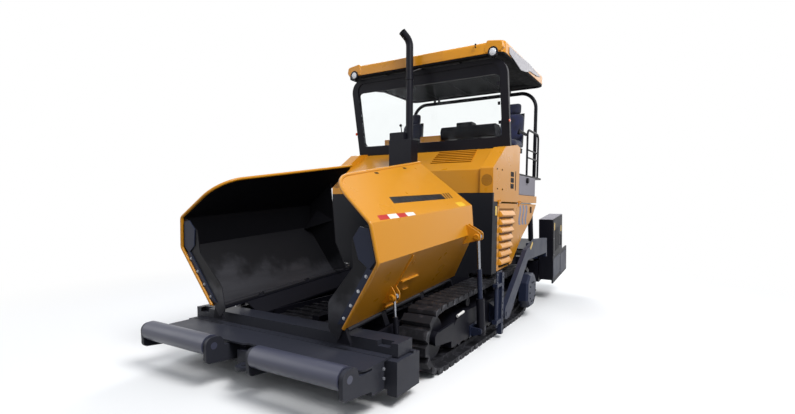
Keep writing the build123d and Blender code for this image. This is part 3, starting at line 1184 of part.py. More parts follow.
def front_frame():
    """Portal in front of the seats: two posts, a lower bar and a top bar, leaning forward."""
    outer = [
        (-FRAME_X, 0.0), (FRAME_X, 0.0), (FRAME_X, FRAME_HEIGHT, 210.0), (-FRAME_X, FRAME_HEIGHT, 210.0),
    ]
    window = [
        (-FRAME_X + FRAME_BAR, LOWER_BAR, 70.0), (FRAME_X - FRAME_BAR, LOWER_BAR, 70.0),
        (FRAME_X - FRAME_BAR, FRAME_HEIGHT - 60.0, 130.0), (-FRAME_X + FRAME_BAR, FRAME_HEIGHT - 60.0, 130.0),
    ]
    frame = prism_y(outer, -FRAME_T / 2, FRAME_T / 2) - prism_y(window, -FRAME_T, FRAME_T)
    return FRAME_PLANE * frame


nodes["front_frame"] = front_frame()


def windscreen():
    """Front glass set against the rear of the frame's window."""
    glass = prism_y([
        (-FRAME_X + FRAME_BAR + RUN, LOWER_BAR + RUN, 70.0), (FRAME_X - FRAME_BAR - RUN, LOWER_BAR + RUN, 70.0),
        (FRAME_X - FRAME_BAR - RUN, FRAME_HEIGHT - 60.0 - RUN, 130.0), (-FRAME_X + FRAME_BAR + RUN, FRAME_HEIGHT - 60.0 - RUN, 130.0),
    ], -4.0, 4.0)
    return FRAME_PLANE * glass


nodes["windscreen"] = windscreen()


def rear_hoop():
    """Bent tube behind the seats with two brackets up to the roof."""
    hoop = bent_tube([
        (-HOOP_X, HOOP_Y, FLOOR_TOP + RUN), (-HOOP_X, HOOP_Y, HOOP_TOP_Z, 230.0), (HOOP_X, HOOP_Y, HOOP_TOP_Z, 230.0),
        (HOOP_X, HOOP_Y, FLOOR_TOP + RUN),
    ], HOOP_R)
    pieces = [hoop]
    for x in (-700.0, 700.0):
        pieces.append(block(x - 50.0, x + 50.0, HOOP_Y - 20.0, HOOP_Y + 20.0, HOOP_TOP_Z, LINER_LOW_Z - RUN))
        for dx in (-50.0, 40.0):
            pieces.append(block(x + dx, x + dx + 10.0, HOOP_Y - 45.0, HOOP_Y + 45.0, HOOP_TOP_Z + 40.0, LINER_LOW_Z - RUN))
        # the bracket reaches the ceiling plate inside the lip
        pieces.append(block(x - 60.0, x + 60.0, HOOP_Y - 45.0, HOOP_Y + 20.0, LINER_LOW_Z - 12.0, ROOF_LOW_Z - 10.0 - RUN))
    for x in (-HOOP_X, HOOP_X):
        pieces.append(block(x - 60.0, x + 60.0, HOOP_Y - 60.0, HOOP_Y + 60.0, FLOOR_TOP + RUN, FLOOR_TOP + 14.0))
    return joined(pieces)


def handrails():
    """Rails at the deck's rear corners with two rungs."""
    x = 1285.0
    rail = bent_tube([
        (x, 1400.0, FLOOR_TOP + RUN), (x, 1400.0, 2900.0, 80.0), (x, 1660.0, 2900.0, 80.0), (x, 1660.0, FLOOR_TOP + RUN),
    ], 17.0)
    rungs = [bar((x, 1400.0, z), (x, 1660.0, z), 12.0) for z in (2450.0, 2680.0)]
    return joined(rail, rungs)


rail = handrails()
nodes["rear_rails"] = apart(rear_hoop(), rail, mirrored(rail))


# ---------------------------------------------------------------------------------------------
# Screed on its two arms; sizes in the lowered position, then raised about the tow pins
# ---------------------------------------------------------------------------------------------
TOW_Y = -345.0
TOW_Z = 285.0
RAISE = 7.2             # degrees from the ground up to the stored position
ARM_X0 = 1405.0
ARM_X1 = 1470.0
ARM_HALF = 85.0
ARM_BEND_Y = 605.0
ARM_BEND_Z = 900.0
ARM_REAR_Y = 1640.0
ARM_REAR_Z = 830.0
SCREED_Y0 = 2075.0
SCREED_DEPTH = 560.0
SCREED_X = 1240.0
SCREED_LOW_Z = 20.0
SCREED_TOP_Z = 420.0
SOLE_T = 30.0
SCREED_WALL = 20.0      # walls of the screed boxes
SCREED_RIBS = (-900.0, -300.0, 300.0, 900.0)    # x of the cross walls that carry the guide tubes
EXT_GAP = 12.0
WALK_REAR_Y = 3498.5
EXT_DEPTH = 520.0
EXT_X0 = 20.0
END_X = 1500.0
GATE_T = 25.0
BOLT_COUNT = 4          # bolt circle in each end gate for a bolt-on extension
BOLT_PCD = 260.0
BOLT_R = 11.0
BOLT_Y = 2900.0
BOLT_Z = 240.0
TOW_PIN_R = 30.0


def raise_screed(shape):
    """Turns a piece from the lowered position up to the stored one."""
    return shape.rotate(Axis((0, TOW_Y, TOW_Z), (1, 0, 0)), RAISE)


INNER_ARM_X0 = 1120.0
INNER_ARM_X1 = 1215.0
INNER_ARM_Z0 = 560.0
INNER_ARM_Z1 = 760.0
KNEE_Y = 1700.0


def tow_arm():
    """Deep plate arm from the tow pin up over the drive and back, then in to the screed."""
    arm = prism_x([
        (TOW_Y - 75.0, TOW_Z - 70.0, 70.0), (TOW_Y + 110.0, TOW_Z - 75.0, 40.0),
        (ARM_BEND_Y + 40.0, ARM_BEND_Z - ARM_HALF - 25.0, 90.0), (ARM_REAR_Y, ARM_REAR_Z - ARM_HALF - 70.0),
        (ARM_REAR_Y + 120.0, ARM_REAR_Z - ARM_HALF - 70.0), (ARM_REAR_Y + 120.0, ARM_REAR_Z + ARM_HALF, 20.0),
        (1150.0, 1010.0, 60.0), (ARM_BEND_Y - 30.0, ARM_BEND_Z + ARM_HALF - 35.0, 110.0), (TOW_Y - 75.0, TOW_Z + 75.0, 70.0),
    ], ARM_X0, ARM_X1)
    hole = bar((ARM_X0 - 5.0, TOW_Y, TOW_Z), (ARM_X1 + 5.0, TOW_Y, TOW_Z), TOW_PIN_R + RUN)
    arm = arm - hole
    knee = block(INNER_ARM_X0, ARM_X1, KNEE_Y, KNEE_Y + 60.0, INNER_ARM_Z0 + 40.0, INNER_ARM_Z1 + 60.0)
    inner = prism_x([
        (KNEE_Y, INNER_ARM_Z0 + 40.0), (SCREED_Y0 + 100.0, INNER_ARM_Z0 - 140.0 + RUN), (SCREED_Y0 + 380.0, INNER_ARM_Z0 - 140.0 + RUN),
        (SCREED_Y0 + 380.0, INNER_ARM_Z0), (SCREED_Y0 + 100.0, INNER_ARM_Z1), (KNEE_Y, INNER_ARM_Z1 + 60.0),
    ], INNER_ARM_X0, INNER_ARM_X1)
    inner = inner - block(LIFT_X - 26.0, LIFT_X + 26.0, LIFT_LOW[0] - 60.0, LIFT_LOW[0] + 60.0, LIFT_LOW[1] - 60.0, INNER_ARM_Z1 + 80.0)
    pin = bar((INNER_ARM_X0 + 5.0, *LIFT_LOW), (INNER_ARM_X1 - 5.0, *LIFT_LOW), PIN_R)
    return joined(arm, knee, inner, pin)


LIFT_X = (INNER_ARM_X0 + INNER_ARM_X1) / 2
LIFT_LOW = (1850.0, 700.0)          # y, z of the lift ram's pin on the arm, lowered
arm = raise_screed(tow_arm())
nodes["tow_arms"] = apart(arm, mirrored(arm))
TUBE_R = 55.0
TUBE_STATIONS = (2240.0, 2480.0)
TUBE_END_X = -1080.0    # inner end of the left tubes, past the middle of the screed
TUBE_ROWS = {"left": 250.0, "right": 120.0}    # height of each extension's guide tubes


def screed_body():
    """Main screed: sole plate, heated box with guide bores for the extensions, top cover and walkway."""
    y0, y1 = SCREED_Y0, SCREED_Y0 + SCREED_DEPTH
    box_x = SCREED_X - 2.0
    body = prism_x([
        (y0, SCREED_LOW_Z + 12.0), (y0 + 14.0, SCREED_LOW_Z), (y1, SCREED_LOW_Z), (y1, SCREED_TOP_Z - 60.0),
        (y1 - 60.0, SCREED_TOP_Z), (y0, SCREED_TOP_Z),
    ], -box_x, box_x)
    hollow = prism_x([
        (y0 + SCREED_WALL, SCREED_LOW_Z + SOLE_T), (y1 - SCREED_WALL, SCREED_LOW_Z + SOLE_T),
        (y1 - SCREED_WALL, SCREED_TOP_Z - 65.0), (y1 - 65.0, SCREED_TOP_Z - SCREED_WALL),
        (y0 + SCREED_WALL, SCREED_TOP_Z - SCREED_WALL),
    ], -box_x + SCREED_WALL, box_x - SCREED_WALL)
    body = body - hollow
    ribs = [block(x - 15.0, x + 15.0, y0 + 5.0, y1 - 5.0, SCREED_LOW_Z + 5.0, SCREED_TOP_Z - 70.0) for x in SCREED_RIBS]
    walk_y0, walk_y1 = y0 + 180.0, WALK_REAR_Y
    walk = block(-1180.0, 1180.0, walk_y0 + 210.0, walk_y1, SCREED_TOP_Z + 90.0, SCREED_TOP_Z + 120.0)
    pieces = [body, walk, *ribs]
    for x in SCREED_RIBS:
        pieces.append(block(x - 15.0, x + 15.0, y1 - 200.0, walk_y1 - 20.0, SCREED_TOP_Z + 40.0, SCREED_TOP_Z + 100.0))
        pieces.append(block(x - 15.0, x + 15.0, y1 - 200.0, y1 - 65.0, SCREED_TOP_Z - 10.0, SCREED_TOP_Z + 100.0))
    screed = joined(pieces)
    for side, z in ((1, TUBE_ROWS["left"]), (-1, TUBE_ROWS["right"])):
        for y in TUBE_STATIONS:
            ends = (side * (SCREED_X + 1.0), y, z), (side * (TUBE_END_X - 10.0), y, z)
            screed = screed - bar(*ends, TUBE_R + RUN)
    return screed


nodes["screed_body"] = raise_screed(screed_body())


def screed_extension(tube_z):
    """Sliding extension behind the main screed, with its end module, end gate and guide tubes."""
    y0 = SCREED_Y0 + SCREED_DEPTH + EXT_GAP
    y1 = y0 + EXT_DEPTH
    wall = SCREED_WALL
    body = prism_x([
        (y0, SCREED_LOW_Z + 12.0), (y0 + 14.0, SCREED_LOW_Z), (y1, SCREED_LOW_Z), (y1, SCREED_TOP_Z - 100.0, 30.0),
        (y1 - 70.0, SCREED_TOP_Z - 20.0), (y0, SCREED_TOP_Z - 20.0),
    ], EXT_X0, END_X - 20.0)
    hollow = prism_x([
        (y0 + wall, SCREED_LOW_Z + SOLE_T), (y1 - wall, SCREED_LOW_Z + SOLE_T), (y1 - wall, SCREED_TOP_Z - 110.0, 20.0),
        (y1 - 80.0, SCREED_TOP_Z - 20.0 - wall), (y0 + wall, SCREED_TOP_Z - 20.0 - wall),
    ], EXT_X0 - 1.0, END_X - GATE_T - wall)
    gate = block(END_X - GATE_T, END_X, SCREED_Y0 - 10.0, y1 + 20.0, SCREED_LOW_Z, SCREED_TOP_Z + 80.0)
    module = block(SCREED_X + EXT_GAP, END_X, SCREED_Y0 - 10.0, y0 + 150.0, SCREED_TOP_Z + 70.0, 1180.0)
    shelf = block(SCREED_X + EXT_GAP, END_X, SCREED_Y0 - 10.0, y0 + 5.0, SCREED_LOW_Z + 60.0, SCREED_TOP_Z + 72.0)
    neck = block(SCREED_X + EXT_GAP, END_X - 20.0, y0, y0 + 150.0, SCREED_TOP_Z - 40.0, SCREED_TOP_Z + 72.0)
    # the end module and its shelf are one tall box, open below
    tall_x0, tall_x1 = SCREED_X + EXT_GAP + wall, END_X - GATE_T - wall
    tall = block(tall_x0, tall_x1, SCREED_Y0 - 10.0 + wall, y0 - wall, SCREED_LOW_Z + 59.0, 1180.0 - wall)
    tubes = [bar((END_X - GATE_T, y, tube_z), (TUBE_END_X, y, tube_z), TUBE_R) for y in TUBE_STATIONS]
    piece = joined(joined(body, gate, module, shelf, neck) - hollow - tall, tubes)
    for i in range(BOLT_COUNT):
        turn = 2 * math.pi * (i + 0.5) / BOLT_COUNT
        y, z = BOLT_Y + BOLT_PCD / 2 * math.cos(turn), BOLT_Z + BOLT_PCD / 2 * math.sin(turn)
        piece = piece - bar((END_X - GATE_T, y, z), (END_X + 5.0, y, z), BOLT_R)
    return piece


nodes["screed_extension_left"] = raise_screed(screed_extension(TUBE_ROWS["left"]))
nodes["screed_extension_right"] = mirrored(raise_screed(screed_extension(TUBE_ROWS["right"])))


# ---------------------------------------------------------------------------------------------
# Lift rams of the screed
# ---------------------------------------------------------------------------------------------
lift_low_raised = raise_screed(Pos(LIFT_X, *LIFT_LOW) * Box(1, 1, 1)).center()
lift_foot = (LIFT_X, 1640.0, 1700.0)
lift_eye = (lift_low_raised.X, lift_low_raised.Y, lift_low_raised.Z)
LIFT_CLEAR = 8.0
LIFT_BARREL_LOW = 50.0
LIFT_BARREL_TOP = 600.0
LIFT_ROD_LOW = 100.0
LIFT_ROD_R = 22.0
both_sides("lift_ram_barrel", ram_barrel(
    lift_foot, lift_eye, LIFT_BARREL_LOW, LIFT_BARREL_TOP, 44.0, LIFT_ROD_R + STAGE_GAP, 44.0, ALONG_X))
both_sides("lift_ram_rod", ram_rod(
    lift_foot, lift_eye, LIFT_ROD_LOW, LIFT_ROD_R, PIN_R + LIFT_CLEAR + EYE_WALL, PIN_R + LIFT_CLEAR, 40.0, ALONG_X))


# ---------------------------------------------------------------------------------------------
# Tow guides, levelling rams, auger carrier and augers
# ---------------------------------------------------------------------------------------------
GUIDE_Y = -515.0
GUIDE_Z0 = 60.0
GUIDE_Z1 = 860.0


def tow_guides():
    """Perforated guide bar and levelling ram in front of each tow point, with the tow pin's block."""
    guide = block(1405.0, 1470.0, GUIDE_Y - 35.0, GUIDE_Y + 35.0, GUIDE_Z0, GUIDE_Z1)
    for i in range(9):
        z = GUIDE_Z0 + 60.0 + i * 85.0
        guide = guide - bar((1400.0, GUIDE_Y, z), (1475.0, GUIDE_Y, z), 14.0)
    bracket = prism_y([
        (FRAME_X1 + RUN, 200.0), (1405.0 + 1.0, 200.0), (1405.0 + 1.0, 400.0), (FRAME_X1 + RUN, 460.0),
    ], GUIDE_Y - 60.0, GUIDE_Y + 60.0)
    ram = bar((1437.0, GUIDE_Y - 160.0, 260.0), (1437.0, GUIDE_Y - 160.0, 700.0), 24.0)
    ram_foot = block(1405.0, 1468.0, GUIDE_Y - 200.0, GUIDE_Y + 5.0, 220.0, 270.0)
    ram_head = block(1405.0, 1468.0, GUIDE_Y - 200.0, GUIDE_Y + 5.0, 690.0, 730.0)
    pin = bar((FRAME_X1 + RUN, TOW_Y, TOW_Z), (ARM_X1 + 6.0, TOW_Y, TOW_Z), TOW_PIN_R)
    left = joined(guide, bracket, ram, ram_foot, ram_head)
    return left, pin


guide, tow_pin = tow_guides()
nodes["side_brackets"] = apart(
    guide, tow_pin, ram_bracket, mirrored(guide), mirrored(tow_pin), mirrored(ram_bracket))

AUGER_Y = 1745.0
AUGER_Z = 430.0
AUGER_R = 185.0
AUGER_SHAFT_R = 42.0
AUGER_X0 = 90.0
CARRIER_GAP = 15.0      # from the carrier's ends to the arms beside it
BEARING_T = 18.0
AUGER_X1 = INNER_ARM_X0 - CARRIER_GAP - BEARING_T - 2.0
AUGER_PITCH = 340.0
FLIGHT_STEPS = 18
FLIGHT_T = 16.0
CARRIER_Z0 = 660.0
CARRIER_Z1 = 840.0
CARRIER_DEPTH = 180.0


def flight():
    """Screw blade as a closed helicoid of flat facets, from radius lines at even turns."""
    turns = (AUGER_X1 - AUGER_X0 - 60.0) / AUGER_PITCH
    count = int(turns * FLIGHT_STEPS)
    inner, outer = AUGER_SHAFT_R - 6.0, AUGER_R
    rings = []
    for i in range(count + 1):
        turn = 2 * math.pi * i / FLIGHT_STEPS
        x = AUGER_X0 + 30.0 + AUGER_PITCH * i / FLIGHT_STEPS
        c, s = math.cos(turn), math.sin(turn)
        rings.append([
            Vector(x, AUGER_Y + inner * c, AUGER_Z + inner * s), Vector(x, AUGER_Y + outer * c, AUGER_Z + outer * s),
            Vector(x + FLIGHT_T, AUGER_Y + outer * c, AUGER_Z + outer * s), Vector(x + FLIGHT_T, AUGER_Y + inner * c, AUGER_Z + inner * s),
        ])
    faces = [Face(Wire.make_polygon(rings[0], close=True)), Face(Wire.make_polygon(rings[-1], close=True))]
    for ring, following in zip(rings, rings[1:]):
        for k in range(4):
            a, b, c, d = ring[k], ring[(k + 1) % 4], following[(k + 1) % 4], following[k]
            faces.append(Face(Wire.make_polygon([a, b, c], close=True)))
            faces.append(Face(Wire.make_polygon([a, c, d], close=True)))
    return Solid(Shell(faces))


def auger():
    """One auger: shaft with its screw blade."""
    shaft = bar((AUGER_X0 - 18.0, AUGER_Y, AUGER_Z), (AUGER_X1 + BEARING_T + 4.0, AUGER_Y, AUGER_Z), AUGER_SHAFT_R)
    return joined(shaft, flight())


both_sides("auger", auger())


def auger_carrier():
    """Cross beam behind the chassis with the middle gearcase and outer bearing plates."""
    end_x = INNER_ARM_X0 - CARRIER_GAP
    rear = CHASSIS_REAR_Y + CARRIER_DEPTH
    beam = block(-end_x, end_x, CHASSIS_REAR_Y + RUN, rear, CARRIER_Z0, CARRIER_Z1)
    # gearcase that hangs behind the beam
    gear = prism_x([
        (AUGER_Y - 95.0, AUGER_Z - 110.0, 60.0), (AUGER_Y + 95.0, AUGER_Z - 110.0, 60.0), (AUGER_Y + 95.0, AUGER_Z + 150.0),
        (rear + 70.0, CARRIER_Z1 - 40.0), (rear + RUN, CARRIER_Z1 - 40.0), (rear + RUN, CARRIER_Z0 - RUN),
        (AUGER_Y - 95.0, CARRIER_Z0 - RUN),
    ], -AUGER_X0 + 26.0, AUGER_X0 - 26.0)
    plate = prism_x([
        (AUGER_Y - 75.0, AUGER_Z - 70.0, 60.0), (AUGER_Y + 75.0, AUGER_Z - 70.0, 60.0), (AUGER_Y + 75.0, AUGER_Z + 70.0, 40.0),
        (AUGER_Y - 75.0, CARRIER_Z0 + 140.0), (AUGER_Y - 140.0, CARRIER_Z0 + 140.0), (AUGER_Y - 140.0, CARRIER_Z0 + 20.0),
    ], end_x - BEARING_T, end_x)
    carrier = joined(beam, plate, mirrored(plate))
    hole = bar((-AUGER_X1 - 30.0, AUGER_Y, AUGER_Z), (AUGER_X1 + 30.0, AUGER_Y, AUGER_Z), AUGER_SHAFT_R + RUN)
    carrier = carrier - hole
    gear = gear - hole
    lift = bar((lift_foot[0] - 40.0, *lift_foot[1:]), (lift_foot[0] + 40.0, *lift_foot[1:]), PIN_R)
    ears = []
    for x0 in (lift_foot[0] - 40.0, lift_foot[0] + 26.0):
        ears.append(prism_x([
            (BODY_REAR_Y - 20.0 + RUN, lift_foot[2] - 60.0), (lift_foot[1] - 20.0, lift_foot[2] - 40.0, 30.0),
            (lift_foot[1] + 40.0, lift_foot[2] - 30.0, 30.0), (lift_foot[1] + 30.0, lift_foot[2] + 40.0, 30.0),
            (BODY_REAR_Y - 20.0 + RUN, lift_foot[2] + 50.0),
        ], x0, x0 + 14.0))
    hanger = joined(lift, ears, block(CHASSIS_X - 200.0, LIFT_X + 60.0, BODY_REAR_Y - 20.0 + RUN, BODY_REAR_Y + 20.0, lift_foot[2] - 100.0, BELT_LOW_Z - 5.0))
    return apart(carrier, gear, hanger, mirrored(hanger))


nodes["auger_carrier"] = auger_carrier()


for name, shape in nodes.items():
    export_step(shape, f"parts/{name}.step")
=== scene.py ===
"""Asphalt paver: paint, steel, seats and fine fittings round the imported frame."""

from __future__ import annotations

import json
import logging
import math
from dataclasses import dataclass
from enum import Enum
from typing import Any, Sequence

import bmesh
import bpy
import numpy as np
from mathutils import Matrix, Vector

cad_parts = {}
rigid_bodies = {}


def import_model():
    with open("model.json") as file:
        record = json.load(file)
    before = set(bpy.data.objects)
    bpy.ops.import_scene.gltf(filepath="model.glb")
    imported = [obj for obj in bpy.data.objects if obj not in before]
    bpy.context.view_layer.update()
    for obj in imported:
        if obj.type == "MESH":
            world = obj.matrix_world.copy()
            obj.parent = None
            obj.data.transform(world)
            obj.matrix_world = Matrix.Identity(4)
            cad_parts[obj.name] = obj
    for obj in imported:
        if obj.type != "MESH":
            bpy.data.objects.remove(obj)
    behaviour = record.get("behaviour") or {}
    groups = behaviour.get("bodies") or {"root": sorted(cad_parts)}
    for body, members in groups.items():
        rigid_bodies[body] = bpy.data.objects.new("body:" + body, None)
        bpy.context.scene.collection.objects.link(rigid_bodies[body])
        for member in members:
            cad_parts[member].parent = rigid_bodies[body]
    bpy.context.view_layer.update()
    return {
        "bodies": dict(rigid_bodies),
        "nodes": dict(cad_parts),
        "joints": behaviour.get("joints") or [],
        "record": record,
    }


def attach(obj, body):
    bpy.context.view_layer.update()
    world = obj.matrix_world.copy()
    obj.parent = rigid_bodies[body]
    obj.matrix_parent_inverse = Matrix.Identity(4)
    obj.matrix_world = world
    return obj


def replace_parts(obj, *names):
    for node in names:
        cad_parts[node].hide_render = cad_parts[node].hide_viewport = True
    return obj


LOG = logging.getLogger("paver")
MM = 0.001

Tree = bpy.types.NodeTree
Node = bpy.types.Node
Socket = bpy.types.NodeSocket
Point = Sequence[float]
Outline = Sequence[Point]
Kit = dict[str, bpy.types.Material]     # the finishes by name


# ----------------------------------------------------------------------------------------
# Colours and shader nodes
# ----------------------------------------------------------------------------------------
class Tint(Enum):
    """Paint and material colours as sRGB hex."""

    YELLOW = "#CC881B"
    # painted shade: darker yellow standing in for the shade in the hood's louvre gaps and the recess behind the
    # door awnings
    YELLOW_PAINTED_SHADE = "#7A4E0E"
    YELLOW_DUSTY = "#C18A30"
    BLACK = "#16161D"
    BLACK_DUSTY = "#1F1F25"
    DARK_GREY = "#1B1C21"
    ANTHRACITE = "#303138"
    ROLLER = "#444657"
    SLATE = "#20263A"
    SLATE_DUSTY = "#2E313E"
    LIGHT_GREY = "#8B8890"
    STEEL = "#8C8E94"
    IRON = "#222227"
    IRON_WORN = "#47474D"
    PLASTIC = "#111116"
    NAVY = "#1B2146"
    LENS = "#C9CCD2"
    AMBER = "#D9501C"
    GLASS = "#FCFEFE"
    RED_FILM = "#B3211D"
    WHITE_FILM = "#E4E2DE"
    STRIPE = "#5C6280"
    RUBBER = "#131316"
    FILM_BLACK = "#17171B"
    LABEL = "#E0B62A"
    FLOOR = "#F4F4F4"
    # black headlining, darkened further than the other black plastic as painted shade under the roof
    HEADLINING_PAINTED_SHADE = "#08080B"
    BED = "#121216"
    BED_WORN = "#3B3B40"


def linear(tint: Tint) -> tuple[float, float, float, float]:
    """Turns an sRGB hex colour into linear light.

    Args:
        tint: the colour.

    Returns:
        Linear red, green, blue and an alpha of 1.
    """
    parts = [int(tint.value[i:i + 2], 16) / 255.0 for i in (1, 3, 5)]
    return (*(c / 12.92 if c <= 0.04045 else ((c + 0.055) / 1.055) ** 2.4 for c in parts), 1.0)


def node(tree: Tree, kind: str, inputs: dict[Any, Any] | None = None, **settings: Any) -> Node:
    """Adds one shader node.

    Args:
        tree: the material's node tree.
        kind: Blender's node type.
        inputs: value or output socket for each named or numbered input.
        **settings: attributes set on the node before its inputs.

    Returns:
        The new node.
    """
    made = tree.nodes.new(kind)
    for name, value in settings.items():
        setattr(made, name, value)
    for name, value in (inputs or {}).items():
        if isinstance(value, Socket):
            tree.links.new(value, made.inputs[name])
        else:
            made.inputs[name].default_value = value
    return made


def place(tree: Tree) -> Socket:
    """Object coordinates in metres."""
    return node(tree, "ShaderNodeTexCoord").outputs["Object"]


def noise(tree: Tree, size_mm: float, detail: float = 3.0, stretch: Point = (1, 1, 1)) -> Socket:
    """Noise whose blotches are about a given size.

    Args:
        tree: the material's node tree.
        size_mm: size of a blotch in real millimetres.
        detail: octaves.
        stretch: how much longer the blotches are along each axis.

    Returns:
        The noise value from 0 to 1.
    """
    scale = [1.0 / (size_mm * MM * s) for s in stretch]
    spot = node(tree, "ShaderNodeMapping", {"Vector": place(tree), "Scale": scale}).outputs["Vector"]
    return node(tree, "ShaderNodeTexNoise", {"Vector": spot, "Scale": 1.0, "Detail": detail}).outputs["Fac"]


def between(tree: Tree, value: Socket, low: float, high: float,
            out_low: float = 0.0, out_high: float = 1.0) -> Socket:
    """Maps a value from one range to another with soft ends.

    Args:
        tree: the material's node tree.
        value: what is mapped.
        low: start of the range.
        high: end of the range.
        out_low: result at the start.
        out_high: result at the end.

    Returns:
        The mapped value.
    """
    return node(tree, "ShaderNodeMapRange", {
        "Value": value, "From Min": low, "From Max": high, "To Min": out_low, "To Max": out_high,
    }, interpolation_type="SMOOTHSTEP").outputs["Result"]


def mixed(tree: Tree, share: Socket, first: Any, second: Any) -> Socket:
    """Mixes two colours by a share.

    Args:
        tree: the material's node tree.
        share: 0 gives the first, 1 the second.
        first: a Tint or a colour socket.
        second: a Tint or a colour socket.

    Returns:
        The mixed colour.
    """
    pair = [linear(c) if isinstance(c, Tint) else c for c in (first, second)]
    mix = node(tree, "ShaderNodeMix", {0: share, 6: pair[0], 7: pair[1]}, data_type="RGBA")
    return mix.outputs[2]


def facing_up(tree: Tree) -> Socket:
    """1 where a surface faces the sky, 0 where it stands upright or faces down."""
    normal = node(tree, "ShaderNodeTexCoord").outputs["Normal"]
    height = node(tree, "ShaderNodeSeparateXYZ", {"Vector": normal}).outputs["Z"]
    return between(tree, height, 0.35, 0.95)


@dataclass(frozen=True)
class Finish:
    """What every finish has: a name, and a shader built in an empty material."""

    name: str

    def shader(self, tree: Tree) -> Node:
        """Builds the finish's own nodes and gives the last one."""
        raise NotImplementedError

    def material(self) -> bpy.types.Material:
        """The finish as a material."""
        made = bpy.data.materials.new(self.name)
        made.use_nodes = True
        tree = made.node_tree
        tree.nodes.clear()
        node(tree, "ShaderNodeOutputMaterial", {"Surface": self.shader(tree).outputs[0]})
        return made


@dataclass(frozen=True)
class SprayedPaint(Finish):
    """Two-pack enamel sprayed on steel: orange peel of a few mm, faint soiling, dust where it faces up."""

    paint: Tint
    dust: Tint
    roughness: float = 0.3
    coat: float = 0.08
    dust_share: float = 0.25
    peel_mm: float = 5.0
    soil_mm: float = 420.0
    shine: float = 0.28

    def shader(self, tree: Tree) -> Node:
        """Builds the paint: clear gloss over colour, with cloudy dust and a fine ripple."""
        cloud = between(tree, noise(tree, self.soil_mm, 5.0), 0.42, 0.75)
        lying = node(tree, "ShaderNodeMath", {0: facing_up(tree), 1: 0.75}, operation="MULTIPLY").outputs[0]
        reach = node(tree, "ShaderNodeMath", {0: cloud, 1: 0.25}, operation="MULTIPLY").outputs[0]
        both = node(tree, "ShaderNodeMath", {0: lying, 1: reach}, operation="ADD", use_clamp=True).outputs[0]
        dusty = node(tree, "ShaderNodeMath", {0: both, 1: self.dust_share}, operation="MULTIPLY").outputs[0]
        ripple = noise(tree, self.peel_mm, 2.0)
        scuff = between(tree, noise(tree, 300.0, 4.0), 0.3, 0.8, self.roughness - 0.03, self.roughness + 0.06)
        bump = node(tree, "ShaderNodeBump", {"Height": ripple, "Strength": 0.04, "Distance": 0.0004})
        return node(tree, "ShaderNodeBsdfPrincipled", {
            "Base Color": mixed(tree, dusty, self.paint, self.dust), "Roughness": scuff,
            "Coat Weight": self.coat, "Coat Roughness": 0.2, "Specular IOR Level": self.shine,
            "Normal": bump.outputs["Normal"],
        })


@dataclass(frozen=True)
class CastSteel(Finish):
    """Bare cast and forged steel: grainy, dark, polished paler where it rubs."""

    ground: Tint
    worn: Tint
    roughness: float = 0.55
    metallic: float = 0.6
    grain_mm: float = 5.0

    def shader(self, tree: Tree) -> Node:
        """Builds the steel: sandy bump, worn patches a hand wide."""
        patch = between(tree, noise(tree, 90.0, 8.0), 0.48, 0.72)
        grain = noise(tree, self.grain_mm, 6.0)
        bump = node(tree, "ShaderNodeBump", {"Height": grain, "Strength": 0.25, "Distance": 0.001})
        return node(tree, "ShaderNodeBsdfPrincipled", {
            "Base Color": mixed(tree, patch, self.ground, self.worn), "Metallic": self.metallic,
            "Roughness": between(tree, patch, 0.0, 1.0, self.roughness + 0.1, self.roughness - 0.15),
            "Normal": bump.outputs["Normal"],
        })


@dataclass(frozen=True)
class GroundRod(Finish):
    """Piston rod: ground along its length and hard-chromed, with faint rings."""

    tint: Tint = Tint.STEEL
    roughness: float = 0.2

    def shader(self, tree: Tree) -> Node:
        """Builds the chromed steel with a slight smear of oil."""
        smear = between(tree, noise(tree, 40.0, 4.0, (1, 1, 6)), 0.35, 0.75, self.roughness, self.roughness + 0.15)
        return node(tree, "ShaderNodeBsdfPrincipled", {
            "Base Color": linear(self.tint), "Metallic": 1.0, "Roughness": smear,
        })


@dataclass(frozen=True)
class GrainedPlastic(Finish):
    """Injection-moulded ABS with a leathery grain of about 2 mm."""

    tint: Tint = Tint.PLASTIC
    roughness: float = 0.5
    grain_mm: float = 3.0

    def shader(self, tree: Tree) -> Node:
        """Builds the plastic: cells of grain in the bump, matt."""
        cells = node(tree, "ShaderNodeTexVoronoi", {"Vector": place(tree), "Scale": 1.0 / (self.grain_mm * MM)})
        bump = node(tree, "ShaderNodeBump",
                    {"Height": cells.outputs["Distance"], "Strength": 0.3, "Distance": 0.0005})
        wear = between(tree, noise(tree, 60.0, 4.0), 0.3, 0.8, self.roughness - 0.08, self.roughness + 0.12)
        return node(tree, "ShaderNodeBsdfPrincipled", {
            "Base Color": linear(self.tint), "Roughness": wear, "Specular IOR Level": 0.15,
            "Normal": bump.outputs["Normal"],
        })


@dataclass(frozen=True)
class WovenCloth(Finish):
    """Upholstery fabric: plain weave, threads drawn 6 mm apart, since the real 1 mm would not show."""

    tint: Tint = Tint.NAVY
    thread_mm: float = 6.0

    def shader(self, tree: Tree) -> Node:
        """Builds the cloth: crossing threads in the bump, a soft sheen."""
        waves = []
        for axis in ("X", "Z"):
            wave = node(tree, "ShaderNodeTexWave",
                        {"Vector": place(tree), "Scale": 0.5 / (self.thread_mm * MM), "Distortion": 0.4},
                        bands_direction=axis)
            waves.append(wave.outputs["Fac"])
        weave = node(tree, "ShaderNodeMath", {0: waves[0], 1: waves[1]}, operation="MULTIPLY").outputs[0]
        bump = node(tree, "ShaderNodeBump", {"Height": weave, "Strength": 0.35, "Distance": 0.001})
        fade = between(tree, noise(tree, 120.0, 4.0), 0.3, 0.8)
        return node(tree, "ShaderNodeBsdfPrincipled", {
            "Base Color": mixed(tree, fade, self.tint, Tint.BLACK), "Roughness": 0.85,
            "Sheen Weight": 0.4, "Sheen Roughness": 0.4, "Normal": bump.outputs["Normal"],
        })


